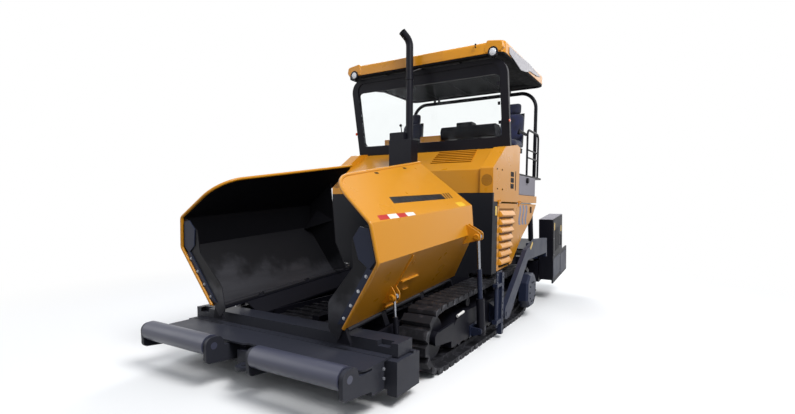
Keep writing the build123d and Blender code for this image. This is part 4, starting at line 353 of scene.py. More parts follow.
@dataclass(frozen=True)
class ClearGlass(Finish):
    """Laminated safety glass, nearly clear, with a grey-green cast."""

    tint: Tint = Tint.GLASS

    def shader(self, tree: Tree) -> Node:
        """Builds the glass: see-through with the gloss of its surface."""
        facing = node(tree, "ShaderNodeFresnel", {"IOR": 1.45}).outputs[0]
        haze = between(tree, noise(tree, 150.0, 5.0), 0.4, 0.8, 0.0, 0.02)
        share = node(tree, "ShaderNodeMath", {0: facing, 1: 0.15, 2: haze}, operation="MULTIPLY_ADD",
                     use_clamp=True).outputs[0]
        through = node(tree, "ShaderNodeBsdfTransparent", {"Color": linear(self.tint)})
        gloss = node(tree, "ShaderNodeBsdfGlossy", {"Color": linear(Tint.LENS), "Roughness": 0.03})
        return node(tree, "ShaderNodeMixShader", {0: share, 1: through.outputs[0], 2: gloss.outputs[0]})


@dataclass(frozen=True)
class MouldedLens(Finish):
    """Polycarbonate lamp lens with moulded flutes."""

    tint: Tint = Tint.LENS
    flute_mm: float = 9.0

    def shader(self, tree: Tree) -> Node:
        """Builds the lens: glossy, with fine upright flutes."""
        flutes = node(tree, "ShaderNodeTexWave", {"Vector": place(tree), "Scale": 0.3 / (self.flute_mm * MM)})
        bump = node(tree, "ShaderNodeBump", {"Height": flutes.outputs["Fac"], "Strength": 0.5, "Distance": 0.002})
        depth = between(tree, noise(tree, 30.0, 3.0), 0.35, 0.7, 0.08, 0.2)
        return node(tree, "ShaderNodeBsdfPrincipled", {
            "Base Color": linear(self.tint), "Roughness": depth, "Coat Weight": 0.8,
            "Normal": bump.outputs["Normal"],
        })


@dataclass(frozen=True)
class WornBed(Finish):
    """Hot-rolled wear plate: black above, scoured paler grey low down where the mix slides."""

    black: Tint = Tint.BED
    worn: Tint = Tint.BED_WORN
    worn_below: float = 0.95    # metres above the ground

    def shader(self, tree: Tree) -> Node:
        """Builds the steel: a cloudy edge between scoured below and black above, and long scrapes."""
        height = node(tree, "ShaderNodeSeparateXYZ", {"Vector": place(tree)}).outputs["Z"]
        ragged = node(tree, "ShaderNodeMath", {0: noise(tree, 300.0, 6.0), 1: -0.9, 2: height},
                      operation="MULTIPLY_ADD").outputs[0]
        low = between(tree, ragged, self.worn_below - 0.62, self.worn_below - 0.35, 1.0, 0.0)
        scrape = between(tree, noise(tree, 90.0, 6.0, (1, 9, 1)), 0.2, 0.8, 0.55, 1.0)
        share = node(tree, "ShaderNodeMath", {0: low, 1: scrape}, operation="MULTIPLY").outputs[0]
        bump = node(tree, "ShaderNodeBump", {"Height": noise(tree, 9.0, 4.0), "Strength": 0.05, "Distance": 0.0006})
        return node(tree, "ShaderNodeBsdfPrincipled", {
            "Base Color": mixed(tree, share, self.black, self.worn), "Metallic": 0.3,
            "Roughness": between(tree, share, 0.0, 1.0, 0.5, 0.3), "Specular IOR Level": 0.2,
            "Normal": bump.outputs["Normal"],
        })


@dataclass(frozen=True)
class ReflectiveFilm(Finish):
    """Self-adhesive vinyl film; the reflective kind has a honeycomb of 4 mm cells under its face."""

    tint: Tint
    cells: float = 0.25
    cell_mm: float = 4.0

    def shader(self, tree: Tree) -> Node:
        """Builds the film: glossy, with the cells in the bump and a little rubbing in the gloss."""
        comb = node(tree, "ShaderNodeTexVoronoi", {"Vector": place(tree), "Scale": 1.0 / (self.cell_mm * MM)})
        bump = node(tree, "ShaderNodeBump",
                    {"Height": comb.outputs["Distance"], "Strength": self.cells, "Distance": 0.0004})
        rubbed = between(tree, noise(tree, 45.0, 5.0), 0.3, 0.8, 0.28, 0.5)
        return node(tree, "ShaderNodeBsdfPrincipled", {
            "Base Color": linear(self.tint), "Roughness": rubbed, "Coat Weight": 0.2,
            "Normal": bump.outputs["Normal"],
        })


@dataclass(frozen=True)
class PaintShop:
    """Every finish of the machine, by the record's material slots."""

    def by_slot(self) -> Kit:
        """Builds one material for each slot.

        Returns:
            The materials by slot name.
        """
        finishes = {
            "yellow_paint": SprayedPaint("yellow_enamel_on_steel", Tint.YELLOW, Tint.YELLOW_DUSTY),
            "black_paint": SprayedPaint("satin_black_enamel", Tint.BLACK, Tint.BLACK_DUSTY, 0.42, 0.0, 0.5,
                                        shine=0.12),
            "grey_paint": SprayedPaint("satin_dark_grey_enamel", Tint.DARK_GREY, Tint.BLACK_DUSTY, 0.45, 0.0, 0.4,
                                       shine=0.12),
            "slate_paint": SprayedPaint("satin_slate_enamel", Tint.SLATE, Tint.SLATE_DUSTY, 0.4, 0.0, 0.6,
                                        shine=0.2),
            "light_grey_paint": SprayedPaint("satin_light_grey_enamel", Tint.LIGHT_GREY, Tint.SLATE_DUSTY, 0.6, 0.0,
                                             0.2),
            "chrome_rod": GroundRod("hard_chromed_rod"),
            "track_steel": CastSteel("forged_track_steel", Tint.IRON, Tint.IRON_WORN),
            "black_plastic": GrainedPlastic("moulded_black_abs"),
            "seat_cloth": WovenCloth("navy_seat_cloth"),
            "lamp_glass": MouldedLens("polycarbonate_lens"),
            "clear_glass": ClearGlass("laminated_glass"),
            # painted shade: darker yellow for the shaded louvre gaps and the recess behind the door awnings
            "amber_paint": SprayedPaint("yellow_enamel_painted_shade", Tint.YELLOW_PAINTED_SHADE, Tint.YELLOW_PAINTED_SHADE, 0.6,
                                        0.0, 0.2),
            "beam_paint": SprayedPaint("satin_anthracite_enamel", Tint.ANTHRACITE, Tint.SLATE_DUSTY, 0.42, 0.0, 0.5,
                                       shine=0.15),
            "roller_paint": SprayedPaint("satin_roller_enamel", Tint.ROLLER, Tint.SLATE_DUSTY, 0.36, 0.1, 0.3,
                                         shine=0.4),
            "side_panel": ReflectiveFilm("light_grey_gelcoat", Tint.LIGHT_GREY, 0.0),
            # black headlining, with painted shade making it darker than the other black plastic
            "headlining": GrainedPlastic("black_foam_headlining", Tint.HEADLINING_PAINTED_SHADE, 0.9, 6.0),
            "hopper_steel": WornBed("hopper_wear_plate"),
            "zinc": CastSteel("zinc_plated_bolt", Tint.STEEL, Tint.LENS, 0.35, 0.9, 2.0),
            "rubber": GrainedPlastic("black_rubber", Tint.RUBBER, 0.7, 2.0),
            "red_film": ReflectiveFilm("red_reflective_film", Tint.RED_FILM),
            "white_film": ReflectiveFilm("white_reflective_film", Tint.WHITE_FILM),
            "black_film": ReflectiveFilm("black_vinyl_film", Tint.FILM_BLACK, 0.0),
            "label_film": ReflectiveFilm("yellow_vinyl_label", Tint.LABEL, 0.0),
            "stripe_film": ReflectiveFilm("blue_grey_vinyl_film", Tint.STRIPE, 0.0),
            "amber_lens": MouldedLens("amber_polycarbonate_lens", Tint.AMBER),
        }
        return {slot: finish.material() for slot, finish in finishes.items()}


# ----------------------------------------------------------------------------------------
# Studio
# ----------------------------------------------------------------------------------------
def sees_backdrop(tree: Tree) -> Socket:
    """1 for camera, glossy and transmission rays, so that metal and glass show the white surroundings too."""
    path = node(tree, "ShaderNodeLightPath")
    pair = node(tree, "ShaderNodeMath", {0: path.outputs["Is Camera Ray"], 1: path.outputs["Is Glossy Ray"]},
                operation="MAXIMUM")
    return node(tree, "ShaderNodeMath", {0: pair.outputs[0], 1: path.outputs["Is Transmission Ray"]},
                operation="MAXIMUM").outputs[0]


@dataclass(frozen=True)
class PaleFloor(Finish):
    """Matt pale floor that keeps the shadow near the machine and is plain white far away."""

    near: float = 3.2       # metres from the middle where it starts to turn white
    far: float = 8.5
    bounce: tuple[float, float, float, float] = (0.16, 0.16, 0.17, 1)

    def shader(self, tree: Tree) -> Node:
        """Builds the floor: pale to the rays that see the backdrop, darker to the light that it throws back."""
        matt = node(tree, "ShaderNodeBsdfDiffuse", {"Color": linear(Tint.FLOOR)})
        glow = node(tree, "ShaderNodeEmission", {"Color": (1, 1, 1, 1), "Strength": 1.0})
        spot = node(tree, "ShaderNodeVectorMath", {0: place(tree)}, operation="LENGTH").outputs["Value"]
        far = between(tree, spot, self.near, self.far)
        seen = sees_backdrop(tree)
        share = node(tree, "ShaderNodeMath", {0: far, 1: seen}, operation="MULTIPLY")
        bounce = node(tree, "ShaderNodeBsdfDiffuse", {"Color": self.bounce})
        ground = node(tree, "ShaderNodeMixShader", {0: seen, 1: bounce.outputs[0], 2: matt.outputs[0]})
        return node(tree, "ShaderNodeMixShader", {0: share.outputs[0], 1: ground.outputs[0], 2: glow.outputs[0]})


@dataclass
class Studio:
    """Pale floor, soft lamps, white surroundings and the camera."""

    eye: tuple[float, float, float] = (3.306, -5.765, 1.682)
    turn: float = 0.50117       # radians from +Y towards -X
    pitch: float = -0.08712
    roll: float = 0.0083
    lens_mm: float = 19.66
    sensor_mm: float = 36.0
    shift: tuple[float, float] = (-0.0435, 0.0477)
    floor_half: float = 40.0

    def camera(self) -> None:
        """Sets the camera by its right, up and backward directions."""
        ahead = Vector((-math.sin(self.turn) * math.cos(self.pitch), math.cos(self.turn) * math.cos(self.pitch),
                        math.sin(self.pitch)))
        right = Vector((math.cos(self.turn), math.sin(self.turn), 0.0))
        up = right.cross(ahead)
        frame = Matrix((right, up, -ahead)).transposed() @ Matrix.Rotation(self.roll, 3, "Z")
        data = bpy.data.cameras.new("camera")
        data.lens, data.sensor_width = self.lens_mm, self.sensor_mm
        data.shift_x, data.shift_y = self.shift
        data.clip_end = 200.0
        made = bpy.data.objects.new("camera", data)
        made.matrix_world = Matrix.Translation(self.eye) @ frame.to_4x4()
        bpy.context.scene.collection.objects.link(made)
        bpy.context.scene.camera = made

    def lamp(self, name: str, spot: Point, aim: Point, size: float, power: float) -> None:
        """Adds one square area lamp.

        Args:
            name: the lamp's name.
            spot: where it hangs, in metres.
            aim: the point it faces.
            size: edge length in metres.
            power: watts.
        """
        data = bpy.data.lights.new(name, "AREA")
        data.size, data.energy = size, power
        made = bpy.data.objects.new(name, data)
        made.location = spot
        made.rotation_euler = (Vector(aim) - Vector(spot)).to_track_quat("-Z", "Y").to_euler()
        bpy.context.scene.collection.objects.link(made)

    def floor(self) -> None:
        """Lays a large pale floor that keeps the machine's shadow and looks white from afar."""
        half = self.floor_half
        mesh = bpy.data.meshes.new("floor")
        mesh.from_pydata(oblong((-half, -half), (half, half), 0), [], [(0, 1, 2, 3)])
        made = bpy.data.objects.new("floor", mesh)
        mesh.materials.append(PaleFloor("pale_studio_floor").material())
        bpy.context.scene.collection.objects.link(made)

    def world(self) -> None:
        """Lights softly from all round, and shows white to the camera and in gloss."""
        world = bpy.data.worlds.new("studio")
        world.use_nodes = True
        tree = world.node_tree
        tree.nodes.clear()
        sky = node(tree, "ShaderNodeSeparateXYZ",
                   {"Vector": node(tree, "ShaderNodeTexCoord").outputs["Generated"]}).outputs["Z"]
        bright = between(tree, sky, -0.1, 0.9, 0.1, 0.62)
        soft = node(tree, "ShaderNodeBackground", {"Color": (0.88, 0.93, 1.0, 1), "Strength": bright})
        white = node(tree, "ShaderNodeBackground", {"Color": (1, 1, 1, 1), "Strength": 1.0})
        mix = node(tree, "ShaderNodeMixShader", {0: sees_backdrop(tree), 1: soft.outputs[0], 2: white.outputs[0]})
        node(tree, "ShaderNodeOutputWorld", {"Surface": mix.outputs[0]})
        bpy.context.scene.world = world

    def build(self) -> None:
        """Sets up floor, world, lamps, camera and colour handling."""
        self.floor()
        self.world()
        self.lamp("key", (6.5, -4.0, 8.5), (0, 0, 1.2), 4.0, 960.0)
        self.lamp("fill", (-7.0, -7.0, 5.0), (0, -1.0, 1.0), 6.0, 170.0)
        self.lamp("back", (-4.5, 7.5, 7.0), (0, 1.0, 2.0), 5.0, 450.0)
        self.lamp("sheen", (2.6, 8.0, 6.0), (0.5, 1.0, 2.5), 6.0, 130.0)
        self.camera()
        bpy.context.scene.view_settings.view_transform = "Standard"


# ----------------------------------------------------------------------------------------
# Surfaces
# ----------------------------------------------------------------------------------------
@dataclass
class Skin:
    """A surface: corner points in metres, and faces as rows of corner numbers."""

    points: np.ndarray
    faces: list[np.ndarray]

    def __add__(self, other: Skin) -> Skin:
        """Puts two surfaces together without joining them."""
        shifted = [rows + len(self.points) for rows in other.faces]
        return Skin(np.vstack([self.points, other.points]), self.faces + shifted)

    def mirrored(self) -> Skin:
        """The same surface on the other side of the machine, faces still outwards."""
        return Skin(self.points * (-1.0, 1.0, 1.0), [rows[:, ::-1] for rows in self.faces])

    def moved(self, shift: Point) -> Skin:
        """The same surface shifted by millimetres."""
        return Skin(self.points + np.asarray(shift, float) * MM, self.faces)

    def placed(self, matrix: np.ndarray, shift: Point = (0, 0, 0)) -> Skin:
        """Turns the points by a 3 by 3 matrix whose columns are the new axes, then shifts them.

        Args:
            matrix: the new x, y and z axes as columns.
            shift: the new origin in millimetres.

        Returns:
            The moved surface.
        """
        return Skin(self.points @ np.asarray(matrix, float).T + np.asarray(shift, float) * MM, self.faces)


def tipped(angle: float) -> np.ndarray:
    """Axes turned about x by an angle in radians, as columns."""
    c, s = math.cos(angle), math.sin(angle)
    return np.array([[1, 0, 0], [0, c, -s], [0, s, c]])


def oblong(low: Point, high: Point, radius: float = 0.0) -> list[tuple[float, float, float]]:
    """Four corners from a lowest to a highest one, anticlockwise, each with a radius."""
    (x0, y0), (x1, y1) = low, high
    return [(x0, y0, radius), (x1, y0, radius), (x1, y1, radius), (x0, y1, radius)]


def together(skins: Sequence[Skin]) -> Skin:
    """Puts several surfaces together without joining them."""
    whole = skins[0]
    for skin in skins[1:]:
        whole = whole + skin
    return whole


def sheet_grid(points: np.ndarray, around: bool = False, capped: bool = False) -> Skin:
    """Faces over a grid of points, row by row.

    Args:
        points: rows by columns by 3, in millimetres.
        around: the last column joins the first.
        capped: the first and last rows are closed by a face each.

    Returns:
        The surface.
    """
    rows, columns = points.shape[:2]
    number = np.arange(rows * columns).reshape(rows, columns)
    ahead = np.roll(number, -1, axis=1)
    low, high = number[:-1], number[1:]
    low_next, high_next = ahead[:-1], ahead[1:]
    quads = np.stack([low, low_next, high_next, high], axis=-1)
    if not around:
        quads = quads[:, :-1]
    faces = [quads.reshape(-1, 4)]
    if capped:
        faces.append(number[0][::-1].reshape(1, -1))
        faces.append(number[-1].reshape(1, -1))
    return Skin(points.reshape(-1, 3) * MM, faces)


def rounded(corners: Outline, closed: bool = True, steps: int = 6, size: int = 2) -> np.ndarray:
    """Points along straight runs whose corners turn on arcs.

    Each arc point is the corner's circle centre plus the radius turned from one run's foot to the next.

    Args:
        corners: points of 2 or 3 coordinates; one more number is the corner's radius.
        closed: the last point joins the first.
        steps: pieces in each arc.
        size: coordinates of each point.

    Returns:
        The points in millimetres.
    """
    spots = np.array([c[:size] for c in corners], float)
    made = []
    for i, corner in enumerate(corners):
        radius = corner[size] if len(corner) > size else 0.0
        if not radius or (not closed and i in (0, len(corners) - 1)):
            made.append(spots[i:i + 1])
            continue
        back = spots[i - 1] - spots[i]
        ahead = spots[(i + 1) % len(spots)] - spots[i]
        back, ahead = back / np.linalg.norm(back), ahead / np.linalg.norm(ahead)
        half = math.acos(max(-1.0, min(1.0, float(back @ ahead)))) / 2
        centre = spots[i] + (back + ahead) / np.linalg.norm(back + ahead) * radius / math.sin(half)
        first = spots[i] + back * radius / math.tan(half) - centre
        last = spots[i] + ahead * radius / math.tan(half) - centre
        share = np.linspace(0.0, 1.0, steps + 1)[:, None]
        arc = first * (1 - share) + last * share
        made.append(centre + arc / np.linalg.norm(arc, axis=1)[:, None] * radius)
    return np.vstack(made)


def plate(corners: Outline, thick: float, soft: float = 1.5) -> Skin:
    """A flat plate: its outline carried up through its thickness, with both edges broken.

    The outline is inset at the bottom and top by the edge's softness, square to its own runs.

    Args:
        corners: x, y and an optional radius of each corner, anticlockwise.
        thick: thickness along z in millimetres.
        soft: how far the edges are broken.

    Returns:
        The plate, its lower face at z = 0.
    """
    line = rounded(corners)
    keep = np.linalg.norm(line - np.roll(line, 1, axis=0), axis=1) > 1e-3
    line = line[keep]
    into = np.roll(line, -1, axis=0) - line
    into = into / np.linalg.norm(into, axis=1)[:, None]
    square = np.stack([-into[:, 1], into[:, 0]], axis=1)
    before = np.roll(square, 1, axis=0)
    inset = (square + before) / (1.0 + (square * before).sum(axis=1))[:, None].clip(0.35)
    soft = min(soft, thick * 0.45)
    rings = [(soft, 0.0), (0.0, soft), (0.0, thick - soft), (soft, thick)]
    grid = np.stack([np.column_stack([line + inset * push, np.full(len(line), z)]) for push, z in rings])
    return sheet_grid(grid, around=True, capped=True)


class Facing(Enum):
    """Which way an upright plate faces, as the axes of its plane and its thickness in columns."""

    FRONT = ((1, 0, 0), (0, 0, -1), (0, 1, 0))
    SIDE = ((0, 0, 1), (1, 0, 0), (0, 1, 0))


def across(skin: Skin, y: float) -> Skin:
    """Stands a plate up across the machine: its plane becomes x-z, its thickness runs to the front."""
    return skin.placed(np.array(Facing.FRONT.value, float), (0.0, y, 0.0))


def along(skin: Skin, x: float) -> Skin:
    """Stands a plate up along the machine: its plane becomes y-z, its thickness runs outwards."""
    return skin.placed(np.array(Facing.SIDE.value, float), (x, 0.0, 0.0))


def tube(path: np.ndarray, radius: float, sides: int = 12, hollow: float = 0.0) -> Skin:
    """A round tube along a path: a circle carried square to the path at each point.

    Args:
        path: points by 3, in millimetres.
        radius: outer radius.
        sides: corners of the circle.
        hollow: bore radius at the far end, 0 for a closed end.

    Returns:
        The tube with closed ends.
    """
    way = np.gradient(path, axis=0)
    way = way / np.linalg.norm(way, axis=1)[:, None]
    spread = np.abs(way).max(axis=0)
    aside = np.eye(3)[int(np.argmin(spread))]
    first = np.cross(way, aside)
    first = first / np.linalg.norm(first, axis=1)[:, None]
    second = np.cross(way, first)
    turn = np.linspace(0.0, 2 * math.pi, sides, endpoint=False)
    ring = np.cos(turn)[None, :, None] * first[:, None, :] + np.sin(turn)[None, :, None] * second[:, None, :]
    grid = path[:, None, :] + radius * ring
    if hollow:
        deep = max(len(path) - 3, 0)
        lip = path[-1] + hollow * ring[-1]
        well = path[deep] + hollow * ring[deep]
        grid = np.concatenate([grid, lip[None], well[None]])
    return sheet_grid(grid, around=True, capped=True)


def rod(start: Point, end: Point, radius: float, sides: int = 12) -> Skin:
    """A straight round rod between two points."""
    return tube(np.linspace(start, end, 3), radius, sides)


def lathe(profile: Outline, centre: Point, axis: Point, sides: int = 20) -> Skin:
    """A turned piece: a profile of radius and height turned about an axis.

    Args:
        profile: radius and height of each ring in millimetres, from one end to the other.
        centre: where height is 0, in millimetres.
        axis: direction of the height.
        sides: corners of each ring.

    Returns:
        The closed surface.
    """
    up = np.asarray(axis, float) / np.linalg.norm(axis)
    first = np.cross(up, np.eye(3)[int(np.argmin(np.abs(up)))])
    first = first / np.linalg.norm(first)
    second = np.cross(up, first)
    turn = np.linspace(0.0, 2 * math.pi, sides, endpoint=False)
    ring = np.cos(turn)[:, None] * first + np.sin(turn)[:, None] * second
    radii, heights = np.array(profile, float).T
    grid = np.asarray(centre, float) + radii[:, None, None] * ring[None] + heights[:, None, None] * up
    return sheet_grid(grid, around=True, capped=True)


def bolt(spot: Point, axis: Point, size: float = 12.0) -> Skin:
    """A hexagon bolt head on its washer, standing on a spot along an axis."""
    washer = lathe([(size * 1.05, -0.5), (size * 1.05, size * 0.16), (size * 0.9, size * 0.2)], spot, axis, 16)
    head = lathe([
        (size * 0.8, size * 0.15), (size * 0.8, size * 0.62), (size * 0.68, size * 0.72),
    ], spot, axis, 6)
    return washer + head


# record's material slot for each finish that isn't named for its own
SLOT_OF = {
    "hopper_steel": "black_paint", "zinc": "chrome_rod", "rubber": "black_plastic", "red_film": "lamp_glass",
    "white_film": "lamp_glass", "black_film": "black_plastic", "label_film": "yellow_paint",
    "headlining": "black_plastic", "side_panel": "light_grey_paint", "amber_lens": "lamp_glass",
    "amber_paint": "yellow_paint", "stripe_film": "light_grey_paint",
}


def build(name: str, skin: Skin, kit: Kit, finish: str, body: str = "machine",
          angle: float = 0.6, slot: str = "") -> bpy.types.Object:
    """Makes a surface an object that rides on a body.

    Args:
        name: the piece's name.
        skin: the surface.
        kit: the finishes.
        finish: which of them it has.
        body: the body it moves with.
        angle: edges sharper than this, in radians, stay sharp.
        slot: the record's material slot, where it isn't the finish's usual one; not used.

    Returns:
        The new object, at the origin.
    """
    mesh = bpy.data.meshes.new(name)
    mesh.from_pydata(skin.points.tolist(), [], [row for rows in skin.faces for row in rows.tolist()])
    work = bmesh.new()
    work.from_mesh(mesh)
    bmesh.ops.remove_doubles(work, verts=work.verts, dist=1e-6)
    bmesh.ops.dissolve_degenerate(work, edges=work.edges, dist=1e-6)
    bmesh.ops.recalc_face_normals(work, faces=work.faces)
    work.to_mesh(mesh)
    work.free()
    mesh.polygons.foreach_set("use_smooth", [True] * len(mesh.polygons))
    mesh.set_sharp_from_angle(angle=angle)
    mesh.materials.append(kit[finish])
    made = bpy.data.objects.new(name, mesh)
    bpy.context.scene.collection.objects.link(made)
    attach(made, body)
    slot or SLOT_OF.get(finish, finish)
    LOG.info("built %s, %d faces, on %s", name, len(mesh.polygons), body)
    return made


def both(name: str, skin: Skin, kit: Kit, finish: str, body: str = "machine",
         angle: float = 0.6, slot: str = "") -> dict[str, bpy.types.Object]:
    """Builds a left piece and its mirror image; a body ending in _left has a right one too."""
    return {
        "left": build(f"{name}_left", skin, kit, finish, body, angle, slot),
        "right": build(f"{name}_right", skin.mirrored(), kit, finish, body.replace("_left", "_right"), angle, slot),
    }


# ----------------------------------------------------------------------------------------
# Sub-assemblies
# ----------------------------------------------------------------------------------------
@dataclass
class HopperWing:
    """A hopper wing: three folded plates with a rolled rim, black wear plates inside, ram lugs and markings."""

    hinge: tuple[float, float, float] = (870.0, -2925.0, 600.0)
    slope: float = math.radians(4.5)
    crease_low: tuple[float, float] = (424.0, 630.0)
    crease_high: tuple[float, float] = (367.0, 953.0)
    top_lean: float = math.radians(36.9)
    foot_length: float = 2200.0
    low_length: float = 1900.0
    high_length: float = 1990.0
    # free corners of the top panel: reach, station, radius
    top_corners: tuple[tuple[float, ...], ...] = ((610.0, 130.0, 380.0), (877.0, 2000.0, 40.0))
    skin: float = 8.0
    wear: float = 6.0
    rim: float = 16.0
    plate_y: float = 1870.0
    hinge_tube: float = 26.0
    knuckles: tuple[tuple[float, float], ...] = ((66.0, 560.0), (640.0, 1300.0), (1380.0, 2060.0))
    # ribs outside the lower panel: from and to up the section, from and to along the hinge, height
    ribs: tuple[tuple[float, ...], ...] = (
        (60.0, 735.0, 545.0, 554.0, 16.0), (404.0, 416.0, 603.0, 905.0, 26.0), (255.0, 265.0, 740.0, 842.0, 20.0),
        (78.0, 88.0, 580.0, 795.0, 16.0), (600.0, 690.0, 572.0, 580.0, 6.0), (600.0, 690.0, 634.0, 642.0, 6.0),
    )
    slots: tuple[tuple[float, float], ...] = ((655.0, 820.0), (740.0, 1455.0))
    # ram eyes: section x and z, station along the hinge, half gap, reach of the ears past the eye
    eyes: tuple[tuple[float, ...], ...] = ((530.0, 614.0, 1782.0, 34.0, 46.0), (212.0, 206.0, 512.8, 28.0, 40.0))
    ear: float = 12.0

    def stand(self, skin: Skin) -> Skin:
        """Turns a piece from the wing's own sloping frame into the machine's."""
        return skin.placed(tipped(self.slope), self.hinge)

    @property
    def low_reach(self) -> float:
        """Width of the lower panel up the section."""
        return math.dist((0.0, 0.0), self.crease_low)

    @property
    def mid_reach(self) -> float:
        """Width of the middle panel up the section."""
        return math.dist(self.crease_low, self.crease_high)

    def ways(self) -> list[tuple[tuple[float, float], tuple[float, float]]]:
        """Start and direction of the lower, middle and top panels in the section."""
        low, high = np.array(self.crease_low), np.array(self.crease_high)
        return [
            ((0.0, 0.0), tuple(low / np.linalg.norm(low))),
            (self.crease_low, tuple((high - low) / np.linalg.norm(high - low))),
            (self.crease_high, (-math.cos(self.top_lean), math.sin(self.top_lean))),
        ]

    def on_panel(self, which: int, corners: Outline, depth: float, thick: float, soft: float = 0.8) -> Skin:
        """A plate on a panel: reach up the section and station along the hinge, from a depth inwards.

        Args:
            which: 0 lower, 1 middle, 2 top panel.
            corners: reach, station and an optional radius.
            depth: how far inside the outer face it starts; negative stands outside.
            thick: thickness inwards.
            soft: how far its edges are broken.

        Returns:
            The plate in the wing's own frame.
        """
        start, way = self.ways()[which]
        inward = (-way[1], way[0])
        axes = np.array([[way[0], 0, inward[0]], [0, 1, 0], [way[1], 0, inward[1]]])
        shift = (start[0] + inward[0] * depth, 0.0, start[1] + inward[1] * depth)
        return plate(corners, thick, soft).placed(axes, shift)

    def panels(self, depth: float, thick: float, trim: float, start: float, foot: float) -> Skin:
        """The three panels at a depth, trimmed at the creases.

        Args:
            depth: from the outer face inwards.
            thick: plate thickness.
            trim: how much shorter each is at a crease.
            start: station of the front edge.
            foot: reach of the lower edge.

        Returns:
            The panels in the wing's own frame.
        """
        low, mid = self.low_reach - trim, self.mid_reach - trim
        corner, rear = self.top_corners
        outlines = (
            [(foot, start), (foot, self.foot_length), (low, self.low_length), (low, start)],
            [(trim, start), (trim, self.low_length), (mid, self.high_length), (mid, start)],
            [(trim, start), (trim, self.high_length), (rear[0] - start, *rear[1:]),
             (corner[0] - start, corner[1] + start, corner[2] - start)],
        )
        return together([self.on_panel(i, outline[::-1], depth, thick) for i, outline in enumerate(outlines)])

    def rolled_rim(self) -> Skin:
        """Tube round the front edge and the free edge of the top panel."""
        (_, low_way), _, (_, top_way) = self.ways()
        high = self.crease_high
        corner, rear = self.top_corners
        path = rounded([
            (low_way[0] * 40.0, 0.0, low_way[1] * 40.0), (self.crease_low[0], 0.0, self.crease_low[1], 60.0),
            (high[0], 0.0, high[1], 60.0),
            (high[0] + top_way[0] * corner[0], corner[1], high[1] + top_way[1] * corner[0], corner[2]),
            (high[0] + top_way[0] * rear[0], rear[1], high[1] + top_way[1] * rear[0]),
        ], closed=False, steps=10, size=3)
        return tube(path, self.rim, 12)

    def lugs(self) -> Skin:
        """Pairs of ears with round hubs and a pin at each ram's eye."""
        (_, low_way), (_, mid_way), _ = self.ways()
        low = self.crease_low
        made = []
        feet = [
            [(low[0] + mid_way[0] * 130.0 - 3.0, low[1] + mid_way[1] * 130.0), (low[0] - 3.0, low[1]),
             (low[0] - low_way[0] * 130.0 - 3.0, low[1] - low_way[1] * 130.0)],
            [(low_way[0] * 381.0 - 3.0, low_way[1] * 381.0), (low_way[0] * 166.0 - 3.0, low_way[1] * 166.0)],
        ]
        for (x, z, y, gap, reach), foot in zip(self.eyes, feet):
            outline = [*foot, (x - 6.0, z - reach, 20.0), (x + reach, z - reach, 30.0),
                       (x + reach, z + reach, 34.0)]
            for rear in (y - gap, y + gap + self.ear):
                made.append(across(plate(outline, self.ear), rear))
            for side in (-1.0, 1.0):
                made.append(lathe([(reach * 0.8, 0.0), (reach * 0.8, 10.0), (reach * 0.62, 16.0), (11.0, 16.0),
                                   (11.0, 11.0)],
                                  (x, y + side * (gap + self.ear), z), (0, side, 0), 28))
            made.append(lathe([(14.0, -gap - 4.0), (14.0, gap + 4.0)], (x, y, z), (0, 1, 0), 20))
        return together(made)

    def outside(self) -> Skin:
        """Everything that is painted yellow."""
        made = [self.panels(0.0, self.skin, 0.0, 0.0, self.hinge_tube + 0.5), self.rolled_rim(), self.lugs()]
        made += [self.on_panel(0, oblong((low, front), (high, rear)), -height, height + 1.0, 2.0)
                 for low, high, front, rear, height in self.ribs]
        return self.stand(together(made))

    def point(self, which: int, along: float, inward: float = 0.0) -> tuple[float, float]:
        """Section point at a reach up a panel and a distance inside its wear plate."""
        start, way = self.ways()[which]
        depth = self.skin + 1.0 + inward
        return (start[0] + way[0] * along - way[1] * depth, start[1] + way[1] * along + way[0] * depth)

    def flap(self) -> Skin:
        """Six-sided flap on the front end plate and the strip below it."""
        point, low, mid = self.point, self.low_reach, self.mid_reach
        flap = [
            point(1, 20.0, 20.0), point(1, -40.0, 100.0), point(1, 60.0, 190.0), point(1, 240.0, 200.0),
            point(1, mid - 10.0, 110.0), point(1, mid - 40.0, 20.0),
        ]
        strip = [point(0, 80.0, 12.0), point(0, low - 90.0, 12.0), point(0, low - 100.0, 65.0),
                 point(0, 30.0, 65.0)]
        plates = [across(plate(outline[::-1], 12.0, 3.0), self.rim + 1.0) for outline in (flap, strip)]
        return self.stand(together(plates))

    def inside(self) -> Skin:
        """Wear plates, front end plate, rear plate, corner gusset and hinge knuckles."""
        point, low, mid = self.point, self.low_reach, self.mid_reach
        start = self.rim + 1.0
        made = [self.panels(self.skin, self.wear, 5.0, start, self.hinge_tube - 6.0)]
        end = [
            point(0, 40.0, 8.0), (-60.0, -90.0, 20.0), (-170.0, -10.0, 80.0), (-150.0, 250.0, 120.0),
            point(1, 0.0, 270.0), point(1, mid * 0.7, 225.0), point(1, mid - 12.0, 60.0),
            point(1, mid - 12.0), point(1, 6.0), point(0, low - 8.0),
        ]
        made.append(across(plate(end[::-1], 10.0), start + 10.0))
        rear = [
            point(0, 70.0), (-60.0, 45.0, 20.0), (-235.0, 75.0, 40.0), (-70.0, 440.0, 80.0), (-65.0, 750.0, 80.0),
            point(2, 520.0), point(2, 10.0), point(1, mid - 6.0), point(1, 6.0), point(0, low - 8.0),
        ]
        made.append(across(plate(rear[::-1], 10.0), self.plate_y + 10.0))
        seat = point(0, low - 30.0)
        corners = np.array([
            (seat[0], self.plate_y - 110.0, seat[1]), (-55.0, self.plate_y + 2.0, 740.0),
            (230.0, self.plate_y + 2.0, 879.0),
        ])
        made.append(sheet_grid(np.stack([corners, corners + (0.0, -4.0, 5.0)]), around=True, capped=True))
        for front, back in self.knuckles:
            made.append(lathe([(22.0, front), (self.hinge_tube, front + 3.0), (self.hinge_tube, back - 3.0),
                               (22.0, back)],
                              (0, 0, 0), (0, 1, 0), 24))
        return self.stand(together(made))

